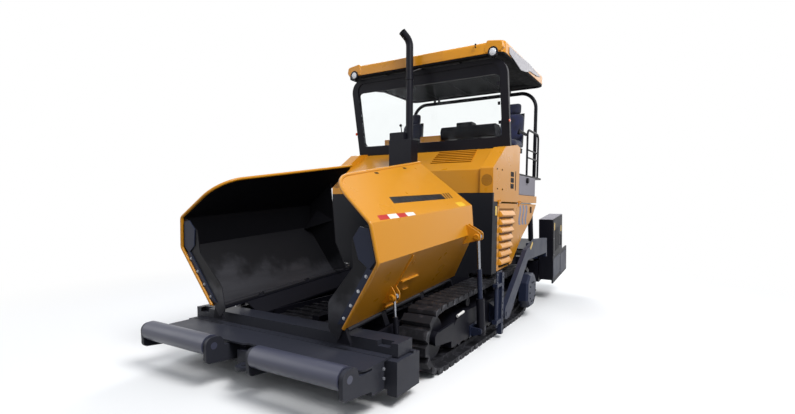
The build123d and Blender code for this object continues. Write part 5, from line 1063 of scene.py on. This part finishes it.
    def front_bolts(self) -> Skin:
        """Bolts down the flap strip."""
        spots = [self.point(0, reach, 37.0) for reach in (120.0, 270.0, 430.0, 590.0)]
        return self.stand(together([bolt((x, self.rim - 11.0, z), (0, -1, 0), 15.0) for x, z in spots]))

    def mark(self, corners: Outline, proud: float = 0.9) -> Skin:
        """A thin film on the outside of the top panel."""
        return self.stand(self.on_panel(2, corners, -proud, proud, 0.1))

    def build(self, kit: Kit) -> None:
        """Builds both wings on their bodies.

        Args:
            kit: the finishes.
        """
        body = "hopper_wing_left"
        for side, made in both("wing_shell", self.outside(), kit, "yellow_paint", body).items():
            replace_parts(made, f"hopper_wing_{side}")
        for side, made in both("wing_wear_plates", self.inside(), kit, "hopper_steel", body).items():
            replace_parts(made, f"wing_liner_{side}")
        both("wing_flap", self.flap(), kit, "slate_paint", body)
        both("wing_flap_bolts", self.front_bolts(), kit, "zinc", body)
        # painted shade: dark film where the slots through the top panel would show shade
        slots = [self.mark(oblong((r, y), (r + 26.0, y + 62.0), 9.0)) for r, y in self.slots]
        both("wing_rim_slots", together(slots), kit, "rubber", body)
        ends = np.array([(75.0, 173.0), (47.0, 710.0), (-4.0, 704.0), (16.0, 150.0)])
        shares = np.linspace(0.0, 1.0, 5)[:, None]
        top, low = ends[0] * (1 - shares) + ends[1] * shares, ends[3] * (1 - shares) + ends[2] * shares
        squares = [self.mark([low[i].clip(4.0), low[i + 1].clip(4.0), top[i + 1], top[i]]) for i in range(4)]
        both("wing_strip_red", together(squares[::2]), kit, "red_film", body)
        both("wing_strip_white", together(squares[1::2]), kit, "white_film", body)
        plain = self.mark([(289.0, 610.0), (194.0, 574.0), (164.0, 1577.0), (255.0, 1599.0)][::-1])
        both("wing_black_band", plain, kit, "black_film", body)
        bars = [self.mark([(262.0 - i, 1640.0 + 62.0 * i), (165.0, 1600.0 + 62.0 * i), (165.0, 1628.0 + 62.0 * i),
                           (262.0 - i, 1668.0 + 62.0 * i)][::-1]) for i in range(3)]
        both("wing_band_stripes", together(bars), kit, "black_film", body)
        label = self.mark(oblong((12.0, 1670.0), (85.0, 1850.0), 6.0), 1.4)
        both("wing_blank_label", label, kit, "label_film", body)


@dataclass
class Canopy:
    """Roof shell with corner pods and lamps, ceiling, side panels, front header, hoop and rails."""

    half_x: float = 1295.0
    front: float = -205.0
    rear: float = 1825.0
    low: tuple[float, float] = (3715.0, 3757.0)
    crown: tuple[tuple[float, float], ...] = ((-205.0, 3866.0), (-120.0, 3880.0), (70.0, 3905.0), (1700.0, 3905.0),
                                              (1825.0, 3885.0))
    lamp_x: float = 1150.0
    lamp_z: float = 3722.0
    lamp_r: float = 62.0
    leaf: tuple[tuple[float, ...], ...] = (
        (5.0, 3742.0, 20.0), (260.0, 3706.0, 300.0), (520.0, 3664.0, 180.0), (790.0, 3708.0, 180.0),
        (965.0, 3768.0, 180.0),
        (1380.0, 3800.0, 200.0), (1560.0, 3836.0), (1540.0, 3850.0), (960.0, 3868.0, 600.0), (5.0, 3836.0, 30.0),
    )
    screen_lean: float = math.radians(10.6)
    rail_x: float = 1285.0
    rail_ends: tuple[float, float] = (1000.0, 1620.0)
    hoop_x: float = 1205.0
    hoop_y: float = 1705.0
    hoop_top: float = 3640.0
    deck: float = 2190.3

    def low_z(self, y: np.ndarray | float) -> np.ndarray | float:
        """Height of the roof's lower edge at a station."""
        return np.interp(y, (self.front, self.rear), self.low)

    def top_z(self, y: np.ndarray | float) -> np.ndarray | float:
        """Height of the roof's top at a station."""
        stations, heights = np.array(self.crown).T
        return np.interp(y, stations, heights)

    def plan(self, inset: float) -> np.ndarray:
        """Rounded outline of the roof in plan, set in by a distance."""
        x, y0, y1 = self.half_x - inset, self.front + inset, self.rear - inset
        r0, r1 = max(95.0 - inset, 20.0), max(120.0 - inset, 20.0)
        return rounded([(-x, y0, r0), (x, y0, r0), (x, y1, r1), (-x, y1, r1)], True, 8)

    def ring(self, inset: float, height: str, drop: float) -> np.ndarray:
        """One ring of the roof: the plan outline at a height below its top or above its lower edge."""
        line = self.plan(inset)
        level = self.top_z(line[:, 1]) - drop if height == "top" else self.low_z(line[:, 1]) + drop
        return np.column_stack([line, level])

    def shell(self) -> Skin:
        """Yellow roof: the plan outline carried up its fascia, over a soft edge and in to the middle."""
        rings = [self.ring(40.0, "low", 90.0), self.ring(40.0, "low", 0.0), self.ring(3.0, "low", 0.0),
                 self.ring(0.0, "low", 4.0),
                 self.ring(0.0, "top", 38.0), self.ring(4.0, "top", 22.0), self.ring(14.0, "top", 9.0),
                 self.ring(32.0, "top", 2.0)]
        outer = self.ring(60.0, "top", 0.0)
        middle = np.array([0.0, (self.front + self.rear) / 2, 0.0])
        for share in (1.0, 0.9, 0.75, 0.5, 0.25):
            ring = middle + (outer - middle) * (share, share, 0.0)
            ring[:, 2] = self.top_z(ring[:, 1])
            rings.append(ring)
        made = [sheet_grid(np.stack(rings), around=True, capped=True)]
        for side in (-1.0, 1.0):
            pod = [(1030.0, self.low[0] + 4.0), (1252.0, self.low[0] + 4.0, 20.0), (1292.0, 3770.0, 30.0),
                   (1276.0, 3856.0, 40.0),
                   (1060.0, 3886.0, 30.0), (1020.0, 3800.0, 60.0)]
            pod = [(side * corner[0], *corner[1:]) for corner in (pod if side > 0 else pod[::-1])]
            made.append(across(plate(pod, 330.0, 12.0), 120.0))
        return together(made)

    def ceiling(self) -> Skin:
        """Black ceiling: lip, then a shallow pan up to the middle, as a closed plate."""
        def level(inset: float, drop: float) -> np.ndarray:
            """The plan outline below the lower edge."""
            return self.ring(inset, "low", -drop)
        rings = [level(4.0, 0.5), level(4.0, 24.0), level(10.0, 28.0), level(56.0, 28.0), level(64.0, 14.0),
                 level(240.0, 8.0),
                 level(250.0, 2.0)]
        ribs = [plate(oblong((-14.0, -100.0), (14.0, 1500.0)), 10.0, 3.0).moved((x, 0.0, 3694.0))
                for x in (-620.0, 0.0, 620.0)]
        return together([sheet_grid(np.stack(rings), around=True, capped=True), *ribs])

    def lamps(self) -> tuple[Skin, Skin]:
        """Lamp housings with bezels, and their lenses."""
        housings, lenses = [], []
        for x in (-self.lamp_x, self.lamp_x):
            spot = (x, self.front - 17.0, self.lamp_z)
            housings.append(lathe([
                (self.lamp_r - 12.0, 3.0), (self.lamp_r - 10.0, -3.0), (self.lamp_r + 2.0, -4.0),
                (self.lamp_r + 8.0, 2.0),
                (self.lamp_r + 8.0, 40.0), (self.lamp_r - 10.0, 62.0),
            ], spot, (0, 1, 0), 36))
            lenses.append(lathe([
                (self.lamp_r - 12.0, 2.0), (self.lamp_r * 0.6, -5.0), (self.lamp_r * 0.25, -8.0), (2.0, -8.5),
            ], spot, (0, 1, 0), 36))
        return together(housings), together(lenses)

    def header(self) -> Skin:
        """Deep dark header over the windscreen, leaning with the front frame, with concave lower corners."""
        line = [(-1196.0, 1104.0), (-1196.0, 893.0), (-1184.0, 930.0), (-1164.0, 950.0), (-1126.0, 962.0),
                (1126.0, 962.0), (1164.0, 950.0), (1184.0, 930.0), (1196.0, 893.0), (1196.0, 1104.0)]
        clips = [across(plate(oblong((x, height), (x + 34.0, height + 44.0)), 16.0, 3.0), -28.0)
                 for height in (306.0, 558.0, 815.0) for x in (-1190.0, 1156.0)]
        whole = together([across(plate(line, 34.0, 3.0), 18.0), *clips])
        return whole.placed(tipped(self.screen_lean), (0.0, 142.0, 2540.4))

    def hoop(self) -> Skin:
        """Bent tube behind the seats with ceiling lugs, and a rail with two rungs on each side."""
        x, y, top = self.hoop_x, self.hoop_y, self.hoop_top
        made = [tube(rounded([(-x, y, self.deck), (-x, y, top, 270.0), (x, y, top, 270.0), (x, y, self.deck)],
                             False, 12, 3), 30.0, 16)]
        for side in (-1.0, 1.0):
            for offset in (-50.0, 40.0):
                made.append(plate(oblong((0, 0), (10, 75)), 3725.0 - top,
                                  2.0).moved((side * 700.0 + offset, y - 45.0, top)))
            made.append(lathe([(62.0, 0.0), (62.0, 10.0), (56.0, 14.0), (31.0, 14.0)], (side * x, y, self.deck),
                              (0, 0, 1), 28))
            far, (front, rear) = side * self.rail_x, self.rail_ends
            rail = rounded([(far, front, self.deck), (far, front, 2900.0, 90.0), (far, rear, 2900.0, 90.0),
                            (far, rear, self.deck)], False, 8, 3)
            made.append(tube(rail, 17.0))
            made += [rod((far, front, height), (far, rear, height), 12.0) for height in (2470.0, 2590.0)]
        return together(made)

    def wiper(self, foot: Point, tip: Point) -> Skin:
        """A wiper arm with its blade across the tip."""
        foot, tip = np.array(foot, float), np.array(tip, float)
        share = np.linspace(0, 1, 6)[:, None]
        arm = foot * (1 - share) + tip * share
        blade = tip + np.linspace(-1, 1, 6)[:, None] * np.array([170.0, -2.0, 24.0])
        return tube(arm, 5.0, 8) + tube(blade, 6.0, 8)

    def build(self, kit: Kit) -> None:
        """Builds the canopy and what stands under it.

        Args:
            kit: the finishes.
        """
        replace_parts(build("canopy_shell", self.shell(), kit, "yellow_paint"), "canopy_roof")
        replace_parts(build("canopy_ceiling", self.ceiling(), kit, "headlining"), "canopy_liner")
        housings, lenses = self.lamps()
        build("roof_lamp_housings", housings, kit, "black_plastic")
        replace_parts(build("roof_lamp_lenses", lenses, kit, "lamp_glass"), "roof_lamps")
        leaf = along(plate(self.leaf, 10.0, 3.0), self.half_x + 0.5)
        both("canopy_side_panel", leaf, kit, "side_panel")
        build("front_header", self.header(), kit, "black_paint")
        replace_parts(build("hoop_and_rails", self.hoop(), kit, "black_paint"), "rear_rails")
        blades = self.wiper((-87.0, -112.0, 3690.0), (150.0, -118.0, 3722.0)) + self.wiper((166.0, -112.0, 3760.0),
                                                                                           (30.0, -118.0, 3700.0))
        build("wipers", blades, kit, "zinc")
        seal = plate(oblong((-1190.0, 112.0), (1190.0, 176.0)), 46.0, 6.0).moved((0.0, 0.0, 2512.0))
        build("screen_foot_seal", seal, kit, "rubber")
        marker = lathe([(22.0, 0.0), (22.0, 8.0), (16.0, 14.0), (4.0, 16.0)], (1311.0, 40.0, 2868.0), (1, 0, 0), 20)
        both("side_markers", marker, kit, "amber_lens")
        hook = rounded([(912.0, -217.0, 3850.0), (912.0, -250.0, 3850.0, 14.0), (912.0, -250.0, 3806.0, 14.0),
                        (912.0, -226.0, 3806.0)], False, 5, 3)
        build("fascia_hook", tube(hook, 7.0, 10), kit, "rubber")
        band = across(plate(oblong((-392.0, 3742.0), (409.0, 3846.0), 8.0), 2.0, 0.5), -205.2)
        build("fascia_blank_plate", band, kit, "yellow_paint")


@dataclass
class Exhaust:
    """Silencer box on the hood's slope and the tall stack with a turned-out mouth."""

    stack: tuple[float, float] = (-60.0, -330.0)
    radius: float = 52.0
    wall: float = 5.0
    bend_z: float = 4020.0
    box_top: float = 2640.0
    tall_top: float = 2745.0

    def shape(self) -> Skin:
        """Two folded boxes and a swept pipe with a hollow mouth and two clamps."""
        x, y = self.stack
        wide = [(-470.0, 2232.0), (-270.0, 2342.0), (-270.0, self.box_top, 16.0), (-470.0, self.box_top, 16.0)]
        tall = [(-462.0, 2500.0), (-290.0, 2500.0), (-290.0, self.tall_top, 20.0), (-462.0, self.tall_top, 20.0)]
        pipe = rounded([(x, y, self.box_top - 20.0), (x, y, self.bend_z, 140.0),
                        (x - 48.0, y - 128.0, self.bend_z + 98.0)], False, 12, 3)
        made = [along(plate(wide, 372.0, 6.0), -324.0), along(plate(tall, 236.0, 6.0), -320.0),
                tube(pipe, self.radius, 28, self.radius - self.wall)]
        for z in (self.box_top - 2.0, 3480.0):
            made.append(lathe([(self.radius, 0.0), (self.radius + 7.0, 2.0), (self.radius + 7.0, 38.0),
                               (self.radius, 40.0)], (x, y, z), (0, 0, 1), 28))
        return together(made)

    def build(self, kit: Kit) -> None:
        """Builds the exhaust.

        Args:
            kit: the finishes.
        """
        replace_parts(build("exhaust_stack", self.shape(), kit, "black_paint"), "exhaust")


@dataclass
class BodyDress:
    """Louvres, grilles, bolts, stripes and blank labels on the hood and the doors."""

    side: float = 1322.0
    grille_middle: tuple[float, float] = (1236.0, 2030.0)
    grille_rings: tuple[tuple[float, int], ...] = ((0.0, 1), (21.0, 6), (43.0, 12), (65.0, 18))    # radius, holes
    slat_out: float = 42.0      # how far a door awning's lip stands out
    slat_pitch: float = 107.1

    def slope(self, x: float, y: float, lift: float) -> tuple[float, float, float]:
        """A point over the hood's middle slope."""
        run, rise = 655.0, 360.0
        length = math.hypot(run, rise)
        z = 2170.0 + rise * (y + 515.0) / run
        return (x, y - rise / length * lift, z + run / length * lift)

    def on_side(self, corners: Outline, lift: float, thick: float, soft: float) -> Skin:
        """A plate on the machine's side, a little proud of it, by its corners in y and z."""
        return along(plate(corners, thick, soft), self.side + lift)

    def louvres(self) -> tuple[Skin, Skin]:
        """Raised slats across the left of the slope, and a dark strip of painted shade in the gap under each lip.
        """
        slats, gaps = [], []
        for i in range(7):
            share = i / 7.0
            y0, y1 = -285.0 + 400.0 * share, -285.0 + 400.0 * (share + 0.8 / 7.0)
            x0, x1 = 266.0 - 50.0 * share, 902.0 - 77.0 * share
            profile = [[self.slope(x, y0, -2.0), self.slope(x, y0, 15.0), self.slope(x, y0 + 8.0, 17.0),
                        self.slope(x, y1, -2.0)] for x in (x0, x1)]
            slats.append(sheet_grid(np.array(profile), around=True, capped=True))
            lip = [[self.slope(x, y0 - 1.5, 1.0), self.slope(x, y0 - 1.5, 11.0), self.slope(x, y0 + 1.0, 11.0),
                    self.slope(x, y0 + 1.0, 1.0)]
                   for x in (x0 + 8.0, x1 - 8.0)]
            gaps.append(sheet_grid(np.array(lip), around=True, capped=True))
        return together(slats), together(gaps)

    def grille(self) -> Skin:
        """Rings of small dark discs in the cheek's front, painted shade standing in for holes."""
        x, z = self.grille_middle
        turns = [(radius, turn) for radius, count in self.grille_rings
                 for turn in np.linspace(0.0, 2 * math.pi, count, endpoint=False)]
        return together([lathe([(7.5, 0.0), (7.5, 1.2)],
                               (x + radius * math.cos(turn), -555.2, z + radius * math.sin(turn)),
                               (0, -1, 0), 12) for radius, turn in turns])

    def door_stripe(self, y: float) -> Skin:
        """One S-curved stripe down the door: its middle swings aside as a half wave over its height."""
        z = np.linspace(1425.0, 1722.0, 24)
        middle = y + 26.0 * np.sin((z - 1573.0) / 297.0 * 2 * math.pi)
        half = 46.0
        ring = np.stack([np.column_stack([np.full_like(z, self.side + lift), middle + side * half, z])
                         for lift, side in ((0.2, -1), (1.2, -1), (1.2, 1), (0.2, 1))], axis=1)
        return sheet_grid(ring, around=True, capped=True)

    def door_slats(self) -> Skin:
        """Pressed awnings down the door: each stands out from its top edge to its lip and turns back under it."""
        made = []
        for i in range(7):
            low = 914.0 + self.slat_pitch * i
            rear = 116.0 + 170.0 * (low + 50.0 - 900.0) / 750.0
            stands = ((-302.0, 1.0), (-284.0, self.slat_out), (rear - 18.0, self.slat_out), (rear, 1.0))
            sections = [[(self.side - 2.0, y, low + 88.0), (self.side + out * 0.45, y, low + 66.0),
                         (self.side + out, y, low + 26.0), (self.side + out * 0.95, y, low + 10.0),
                         (self.side + out * 0.7, y, low + 2.0), (self.side - 2.0, y, low + 6.0)]
                        for y, out in stands]
            made.append(sheet_grid(np.array(sections), around=True, capped=True))
        return together(made)

    def build(self, kit: Kit) -> None:
        """Dresses the hood and the doors.

        Args:
            kit: the finishes.
        """
        slats, gaps = self.louvres()
        build("hood_louvres", slats, kit, "yellow_paint", angle=0.4)
        # painted shade: dark yellow strips in the louvre gaps
        build("hood_louvre_gaps", gaps, kit, "amber_paint")
        # painted shade: dark discs for the grille's holes
        both("cheek_grille", self.grille(), kit, "rubber")
        spots = [(-420.0, 2178.0), (-230.0, 2180.0), (-400.0, 1926.0), (-210.0, 1923.0)]
        both("cheek_bolts", together([bolt((self.side, y, z), (1, 0, 0), 11.0) for y, z in spots]), kit, "rubber")
        # painted shade: a darker yellow sheet behind the awnings stands in for the shade in the door's recess
        field = [(-306.0, 905.0, 8.0), (118.0, 905.0, 8.0), (292.0, 1672.0, 8.0), (-306.0, 1672.0, 8.0)]
        recess = self.on_side(field, 0.2, 1.2, 0.3)
        both("door_awning_field", recess, kit, "amber_paint", "side_door_left")
        both("door_awnings", self.door_slats(), kit, "yellow_paint", "side_door_left", 0.5)
        both("door_stripes", together([self.door_stripe(y) for y in (590.0, 745.0, 900.0)]), kit, "stripe_film",
             "side_door_left")
        # painted shade: dark plates stand in for the shade inside the cheek's vent openings
        vents = [self.on_side(oblong((122.0, z), (262.0, z + 66.0), 8.0), 0.2, 1.4, 0.4)
                 for z in (1950.0, 2033.0, 2116.0)]
        vents.append(self.on_side(oblong((326.0, 1928.0), (356.0, 2202.0), 8.0), 0.2, 1.4, 0.4))
        both("cheek_vent_painted_shade", together(vents), kit, "rubber")
        label = self.on_side(oblong((-458.0, 1580.0), (-400.0, 1700.0), 6.0), 0.3, 1.2, 0.3)
        both("post_blank_label", label, kit, "label_film")
        latch = self.on_side(oblong((1120.0, 1600.0), (1180.0, 1700.0), 12.0), 0.2, 9.0, 3.0)
        both("door_latch", latch, kit, "black_plastic", "side_door_left")
        cap = lathe([(42.0, 0.0), (42.0, 26.0), (34.0, 32.0), (6.0, 33.0)], (self.side, 895.0, 2100.0), (1, 0, 0),
                    28)
        both("filler_cap", cap, kit, "black_plastic")


@dataclass
class Seat:
    """Suspension seat: padded cushion, back and headrest on a shell, with arm rests."""

    x: float = 950.0
    y: float = 1010.0
    z: float = 2620.0
    width: float = 430.0
    voxel_mm: float = 12.0
    pressure: float = 4.0
    frames: int = 15
    swell_mm: float = 9.0       # the farthest a point of a pad may move
    round_plan: float = 0.38    # powers of the superellipse: lower is squarer
    round_edge: float = 0.45
    round_face: float = 0.6

    def pillow(self, size: Point, centre: Point, lean: float, crown: float) -> Skin:
        """A crowned closed pad: a superellipse in plan whose thickness swells to the middle.

        Args:
            size: width, length and thickness in millimetres.
            centre: its middle.
            lean: how far it leans back, in degrees.
            crown: how much thicker the middle is.

        Returns:
            The pad.
        """
        u = np.linspace(0.0, 2 * math.pi, 48, endpoint=False)
        v = np.linspace(-math.pi / 2 + 0.08, math.pi / 2 - 0.08, 22)

        def bent(value: np.ndarray, exponent: float) -> np.ndarray:
            """Signed power, which squares off a sine."""
            return np.sign(value) * np.abs(value) ** exponent
        ring = bent(np.cos(v), self.round_edge)[:, None]
        x = ring * bent(np.cos(u), self.round_plan)[None] * size[0] / 2
        y = ring * bent(np.sin(u), self.round_plan)[None] * size[1] / 2
        swell = 1.0 + crown * (1 - (2 * x / size[0]) ** 2) * (1 - (2 * y / size[1]) ** 2)
        z = bent(np.sin(v), self.round_face)[:, None] * np.ones_like(x) * size[2] / 2 * swell
        pad = sheet_grid(np.stack([x, y, z], axis=-1), around=True, capped=True)
        return pad.placed(tipped(math.radians(lean)), centre)

    def soften(self, pad: bpy.types.Object) -> None:
        """Swells a pad as cloth under pressure, keeps each point within a cap, and smooths it once.

        Args:
            pad: the pad.
        """
        remesh = pad.modifiers.new("remesh", "REMESH")
        remesh.mode, remesh.voxel_size = "VOXEL", self.voxel_mm * MM
        made = bpy.data.meshes.new_from_object(pad.evaluated_get(bpy.context.evaluated_depsgraph_get()))
        pad.modifiers.clear()
        made.materials.clear()
        made.materials.append(pad.data.materials[0])
        pad.data = made
        start = np.empty(len(made.vertices) * 3)
        made.vertices.foreach_get("co", start)
        cloth = pad.modifiers.new("cloth", "CLOTH")
        cloth.settings.use_pressure, cloth.settings.uniform_pressure_force = True, self.pressure
        cloth.settings.effector_weights.gravity = 0.0
        for frame in range(1, self.frames + 1):
            bpy.context.scene.frame_set(frame)
        settled = pad.evaluated_get(bpy.context.evaluated_depsgraph_get()).to_mesh()
        end = np.empty(len(settled.vertices) * 3)
        settled.vertices.foreach_get("co", end)
        pad.modifiers.clear()
        bpy.context.scene.frame_set(1)
        moved = (end - start).reshape(-1, 3)
        length = np.linalg.norm(moved, axis=1)[:, None]
        moved = moved * np.minimum(1.0, self.swell_mm * MM / np.maximum(length, 1e-9))
        made.vertices.foreach_set("co", start + moved.reshape(-1))
        made.polygons.foreach_set("use_smooth", [True] * len(made.polygons))
        made.update()
        smooth = pad.modifiers.new("smooth", "SUBSURF")
        smooth.levels = smooth.render_levels = 1

    def pads(self) -> dict[str, Skin]:
        """The three pads of the left seat."""
        return {
            "seat_cushion": self.pillow((self.width, 450.0, 118.0), (self.x, self.y - 12.0, self.z + 66.0), 3.0,
                                        0.16),
            "seat_back": self.pillow((self.width - 20.0, 520.0, 92.0), (self.x, self.y + 205.0, self.z + 335.0),
                                     82.0, 0.2),
            "seat_headrest": self.pillow((270.0, 175.0, 82.0), (self.x, self.y + 262.0, self.z + 668.0), 84.0,
                                         0.15),
        }

    def frame(self) -> Skin:
        """Back shell, headrest bars, arm rests and the slide under the cushion."""
        shell = [(150.0, 40.0, 30.0), (262.0, 40.0, 30.0), (312.0, 590.0, 30.0), (262.0, 600.0, 30.0)]
        made = [
            along(plate(shell, self.width - 60.0, 12.0), 30.0 - self.width / 2),
            plate(oblong((-200.0, -215.0), (200.0, 215.0), 40.0), 14.0, 4.0).moved((0.0, 0.0, -1.0)),
        ]
        for side in (-1.0, 1.0):
            bar, arm = side * 60.0, side * 236.0
            made.append(rod((bar, 266.0, 560.0), (bar, 270.0, 640.0), 7.0, 10))
            rest = rounded([(arm, 215.0, 240.0), (arm, -120.0, 252.0, 40.0), (arm, -150.0, 200.0)], False, 6, 3)
            made.append(tube(rest, 24.0, 14))
        return together(made).moved((self.x, self.y, self.z))

    def build(self, kit: Kit) -> None:
        """Builds both seats; the right one mirrors the left.

        Args:
            kit: the finishes.
        """
        for name, skin in self.pads().items():
            for side, pad in both(name, skin, kit, "seat_cloth", angle=1.4).items():
                self.soften(pad)
                if name == "seat_cushion":
                    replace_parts(pad, f"seat_{side}")
        both("seat_frame", self.frame(), kit, "black_plastic")


@dataclass
class Station:
    """Console with its panels and levers, cabinet and small box on the deck."""

    floor: float = 2190.3

    def desk(self) -> Skin:
        """Console body: a sloping profile across its width, a raised middle and a column."""
        profile = [(600.0, 2772.0, 30.0), (825.0, 2772.0, 30.0), (848.0, 2862.0, 25.0), (790.0, 2964.0, 25.0),
                   (600.0, 2964.0, 30.0), (565.0, 2882.0, 30.0)]
        raised = [(595.0, 2944.0), (800.0, 2944.0), (770.0, 3020.0, 25.0), (590.0, 3020.0, 25.0)]
        column = oblong((620.0, self.floor), (790.0, 2790.0))
        return together([
            along(plate(profile, 939.0, 10.0), -35.0), along(plate(raised, 267.0, 8.0), 243.0),
            along(plate(column, 350.0, 6.0), 250.0),
        ])

    def controls(self) -> Skin:
        """Rows of push buttons on the console's rear slope, and a lever with a ball knob beside it."""
        spots = [(x, 812.0 - row * 16.0, 2925.0 + row * 13.0) for row in range(3)
                 for x in np.linspace(20.0, 220.0, 6)]
        made = [lathe([(10.0, -6.0), (10.0, 4.0), (7.0, 6.0)], spot, (0, 0.6, 0.8), 12) for spot in spots]
        made.append(tube(np.array([(-805.0, 640.0, 2850.0), (-805.0, 622.0, 2960.0), (-805.0, 600.0, 3040.0)]), 8.0,
                         10))
        made.append(lathe([(6.0, -24.0), (20.0, -14.0), (26.0, 0.0), (20.0, 14.0), (6.0, 24.0)],
                          (-805.0, 592.0, 3062.0), (0, -0.3, 1), 16))
        return together(made)

    def build(self, kit: Kit) -> None:
        """Builds what stands on the deck.

        Args:
            kit: the finishes.
        """
        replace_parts(build("console_desk", self.desk(), kit, "black_plastic"), "console")
        build("console_controls", self.controls(), kit, "rubber")
        profile = [(600.0, self.floor), (900.0, self.floor), (900.0, 2760.0, 30.0), (850.0, 2850.0, 40.0),
                   (600.0, 2850.0, 25.0)]
        cabinet = along(plate(profile, 382.0, 6.0), -427.0)
        stowage = [(590.0, self.floor), (755.0, self.floor), (755.0, 2840.0, 14.0), (590.0, 2840.0, 14.0)]
        small = along(plate(stowage, 130.0, 6.0), -1140.0)
        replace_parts(build("deck_cabinets", cabinet + small, kit, "yellow_paint"), "deck_cabinet")


@dataclass
class ChassisDress:
    """Bolts, roller end caps, tensioner rod, screed plates and blank labels low on the machine."""

    tow_pin: tuple[float, float] = (-345.0, 285.0)
    raise_turn: float = math.radians(7.2)
    end_x: float = 1500.0

    def build(self, kit: Kit) -> None:
        """Dresses the beam, tracks and screed.

        Args:
            kit: the finishes.
        """
        tensioner = rod((1322.0, -1560.0, 500.0), (1322.0, -1400.0, 516.0), 16.0, 14)
        both("tensioner_rod", tensioner, kit, "white_film", slot="light_grey_paint")
        hub = [bolt((1500.0, 765.0 + 150.0 * math.cos(turn), 400.0 + 150.0 * math.sin(turn)), (1, 0, 0), 13.0)
               for turn in np.linspace(0.0, 2 * math.pi, 10, endpoint=False)]
        both("drive_cover_bolts", together(hub), kit, "rubber")
        beam = [bolt((x, -2969.0, z), (0, -1, 0), 14.0) for x in (-1340.0, 1340.0) for z in (300.0, 380.0)]
        build("beam_bolts", together(beam), kit, "zinc")
        caps = [lathe([(70.0, 0.0), (70.0, 5.0), (52.0, 8.0), (34.0, 9.0)], (x, -3345.0, 413.0), (way, 0, 0), 32)
                for x, way in ((326.0, -1.0), (1240.0, 1.0))]
        both("roller_caps", together(caps), kit, "rubber", "push_roller_left")
        guide = along(plate(oblong((-667.0, 161.0), (-475.0, 881.0), 8.0), 8.0, 2.0), 1432.0)
        both("tow_guide_face", guide, kit, "slate_paint")
        heads = [bolt((1440.0, y, z), (1, 0, 0), 11.0) for y in (-640.0, -502.0)
                 for z in np.linspace(200.0, 840.0, 7)]
        both("tow_guide_bolts", together(heads), kit, "zinc")
        label = along(plate([(790.0, 905.0, 6.0), (905.0, 985.0, 6.0), (880.0, 1025.0, 6.0), (765.0, 945.0, 6.0)],
                            1.2, 0.3), 1470.2)
        both("tow_arm_blank_label", self.raised(label), kit, "label_film", "screed")
        self.screed_end(kit)

    def raised(self, skin: Skin) -> Skin:
        """Turns a piece about the tow pin from the lowered screed up to the stored one."""
        turn = tipped(self.raise_turn)
        pin = np.array([0.0, *self.tow_pin])
        return skin.placed(turn, pin - turn @ pin)

    def on_end(self, corners: Outline, lift: float, thick: float, soft: float = 1.0) -> Skin:
        """A plate on the screed's end, lying a little proud of it, in the lowered position's y and z."""
        return self.raised(along(plate(corners, thick, soft), self.end_x + lift))

    def screed_end(self, kit: Kit) -> None:
        """Covers, latches, handle, bolts and blank labels on the extension's end module.

        Args:
            kit: the finishes.
        """
        body, x = "screed_extension_left", self.end_x
        cover = self.on_end(oblong((2085.0, 520.0), (2770.0, 1155.0), 24.0), -0.5, 6.0, 2.0)
        both("module_cover", cover, kit, "black_paint", body)
        foot = [self.on_end(oblong((2085.0, 110.0), (2600.0, 470.0), 18.0), -0.5, 5.0, 2.0),
                self.on_end(oblong((2640.0, 60.0), (3120.0, 440.0), 18.0), -0.5, 5.0, 2.0)]
        both("end_gate_panels", together(foot), kit, "slate_paint", body)
        lid = self.raised(plate(oblong((1256.0, 2069.0), (1496.0, 2790.0), 12.0), 8.0, 3.0).moved((0, 0, 1179.0)))
        both("module_lid", lid, kit, "light_grey_paint", body)
        ribs = [self.on_end(oblong((y, 590.0), (y + 26.0, 1000.0), 10.0), 5.0, 5.0, 2.0)
                for y in (2230.0, 2330.0, 2430.0)]
        hold = rounded([(x + 4.0, 2580.0, 640.0), (x + 26.0, 2580.0, 640.0, 12.0), (x + 26.0, 2580.0, 820.0, 12.0),
                        (x + 4.0, 2580.0, 820.0)], False, 6, 3)
        ribs.append(self.raised(tube(hold, 8.0, 10)))
        both("module_ribs_and_handle", together(ribs), kit, "black_plastic", body)
        spots = [(y, z) for y in (2105.0, 2750.0) for z in (545.0, 840.0, 1130.0)] + [(y, z)
                                                                                      for y in (2105.0, 2580.0,
                                                                                                3100.0)
                                                                                                for z in (130.0,
                                                                                                          420.0)]
        both("module_bolts", together([self.raised(bolt((x + 4.0, y, z), (1, 0, 0), 10.0)) for y, z in spots]), kit,
             "zinc", body)
        marks = [self.on_end(oblong((y, z), (y + 60.0, z + tall), 5.0), 5.3, 1.2, 0.3)
                 for y, z, tall in ((2140.0, 980.0, 130.0), (2640.0, 880.0, 110.0))]
        both("screed_blank_labels", together(marks), kit, "label_film", body)


# ----------------------------------------------------------------------------------------
# Main
# ----------------------------------------------------------------------------------------
# nodes whose paint differs a little from the rest of their slot
OWN_FINISH = {"front_beam": "beam_paint", "push_beam": "beam_paint", "push_roller_left": "roller_paint",
              "push_roller_right": "roller_paint"}


def paint_frame(frame: dict[str, Any], finishes: Kit) -> None:
    """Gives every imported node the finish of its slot, or its own.

    Args:
        finishes: materials by slot.
    """
    for part in frame["record"]["subparts"]:
        mesh = frame["nodes"][part["node"]].data
        mesh.materials.clear()
        mesh.materials.append(finishes[OWN_FINISH.get(part["node"], part["material_slot"])])
        LOG.info("painted %s with %s", part["node"], part["material_slot"])


def main() -> None:
    """Loads the frame and builds everything round it in order."""
    logging.basicConfig(level=logging.INFO, format="%(message)s")
    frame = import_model()
    kit = PaintShop().by_slot()
    paint_frame(frame, kit)
    for part in (HopperWing(), Canopy(), Exhaust(), BodyDress(), Seat(), Station(), ChassisDress()):
        LOG.info("building %s", type(part).__name__)
        part.build(kit)
    Studio().build()


if __name__ == "__main__":
    main()
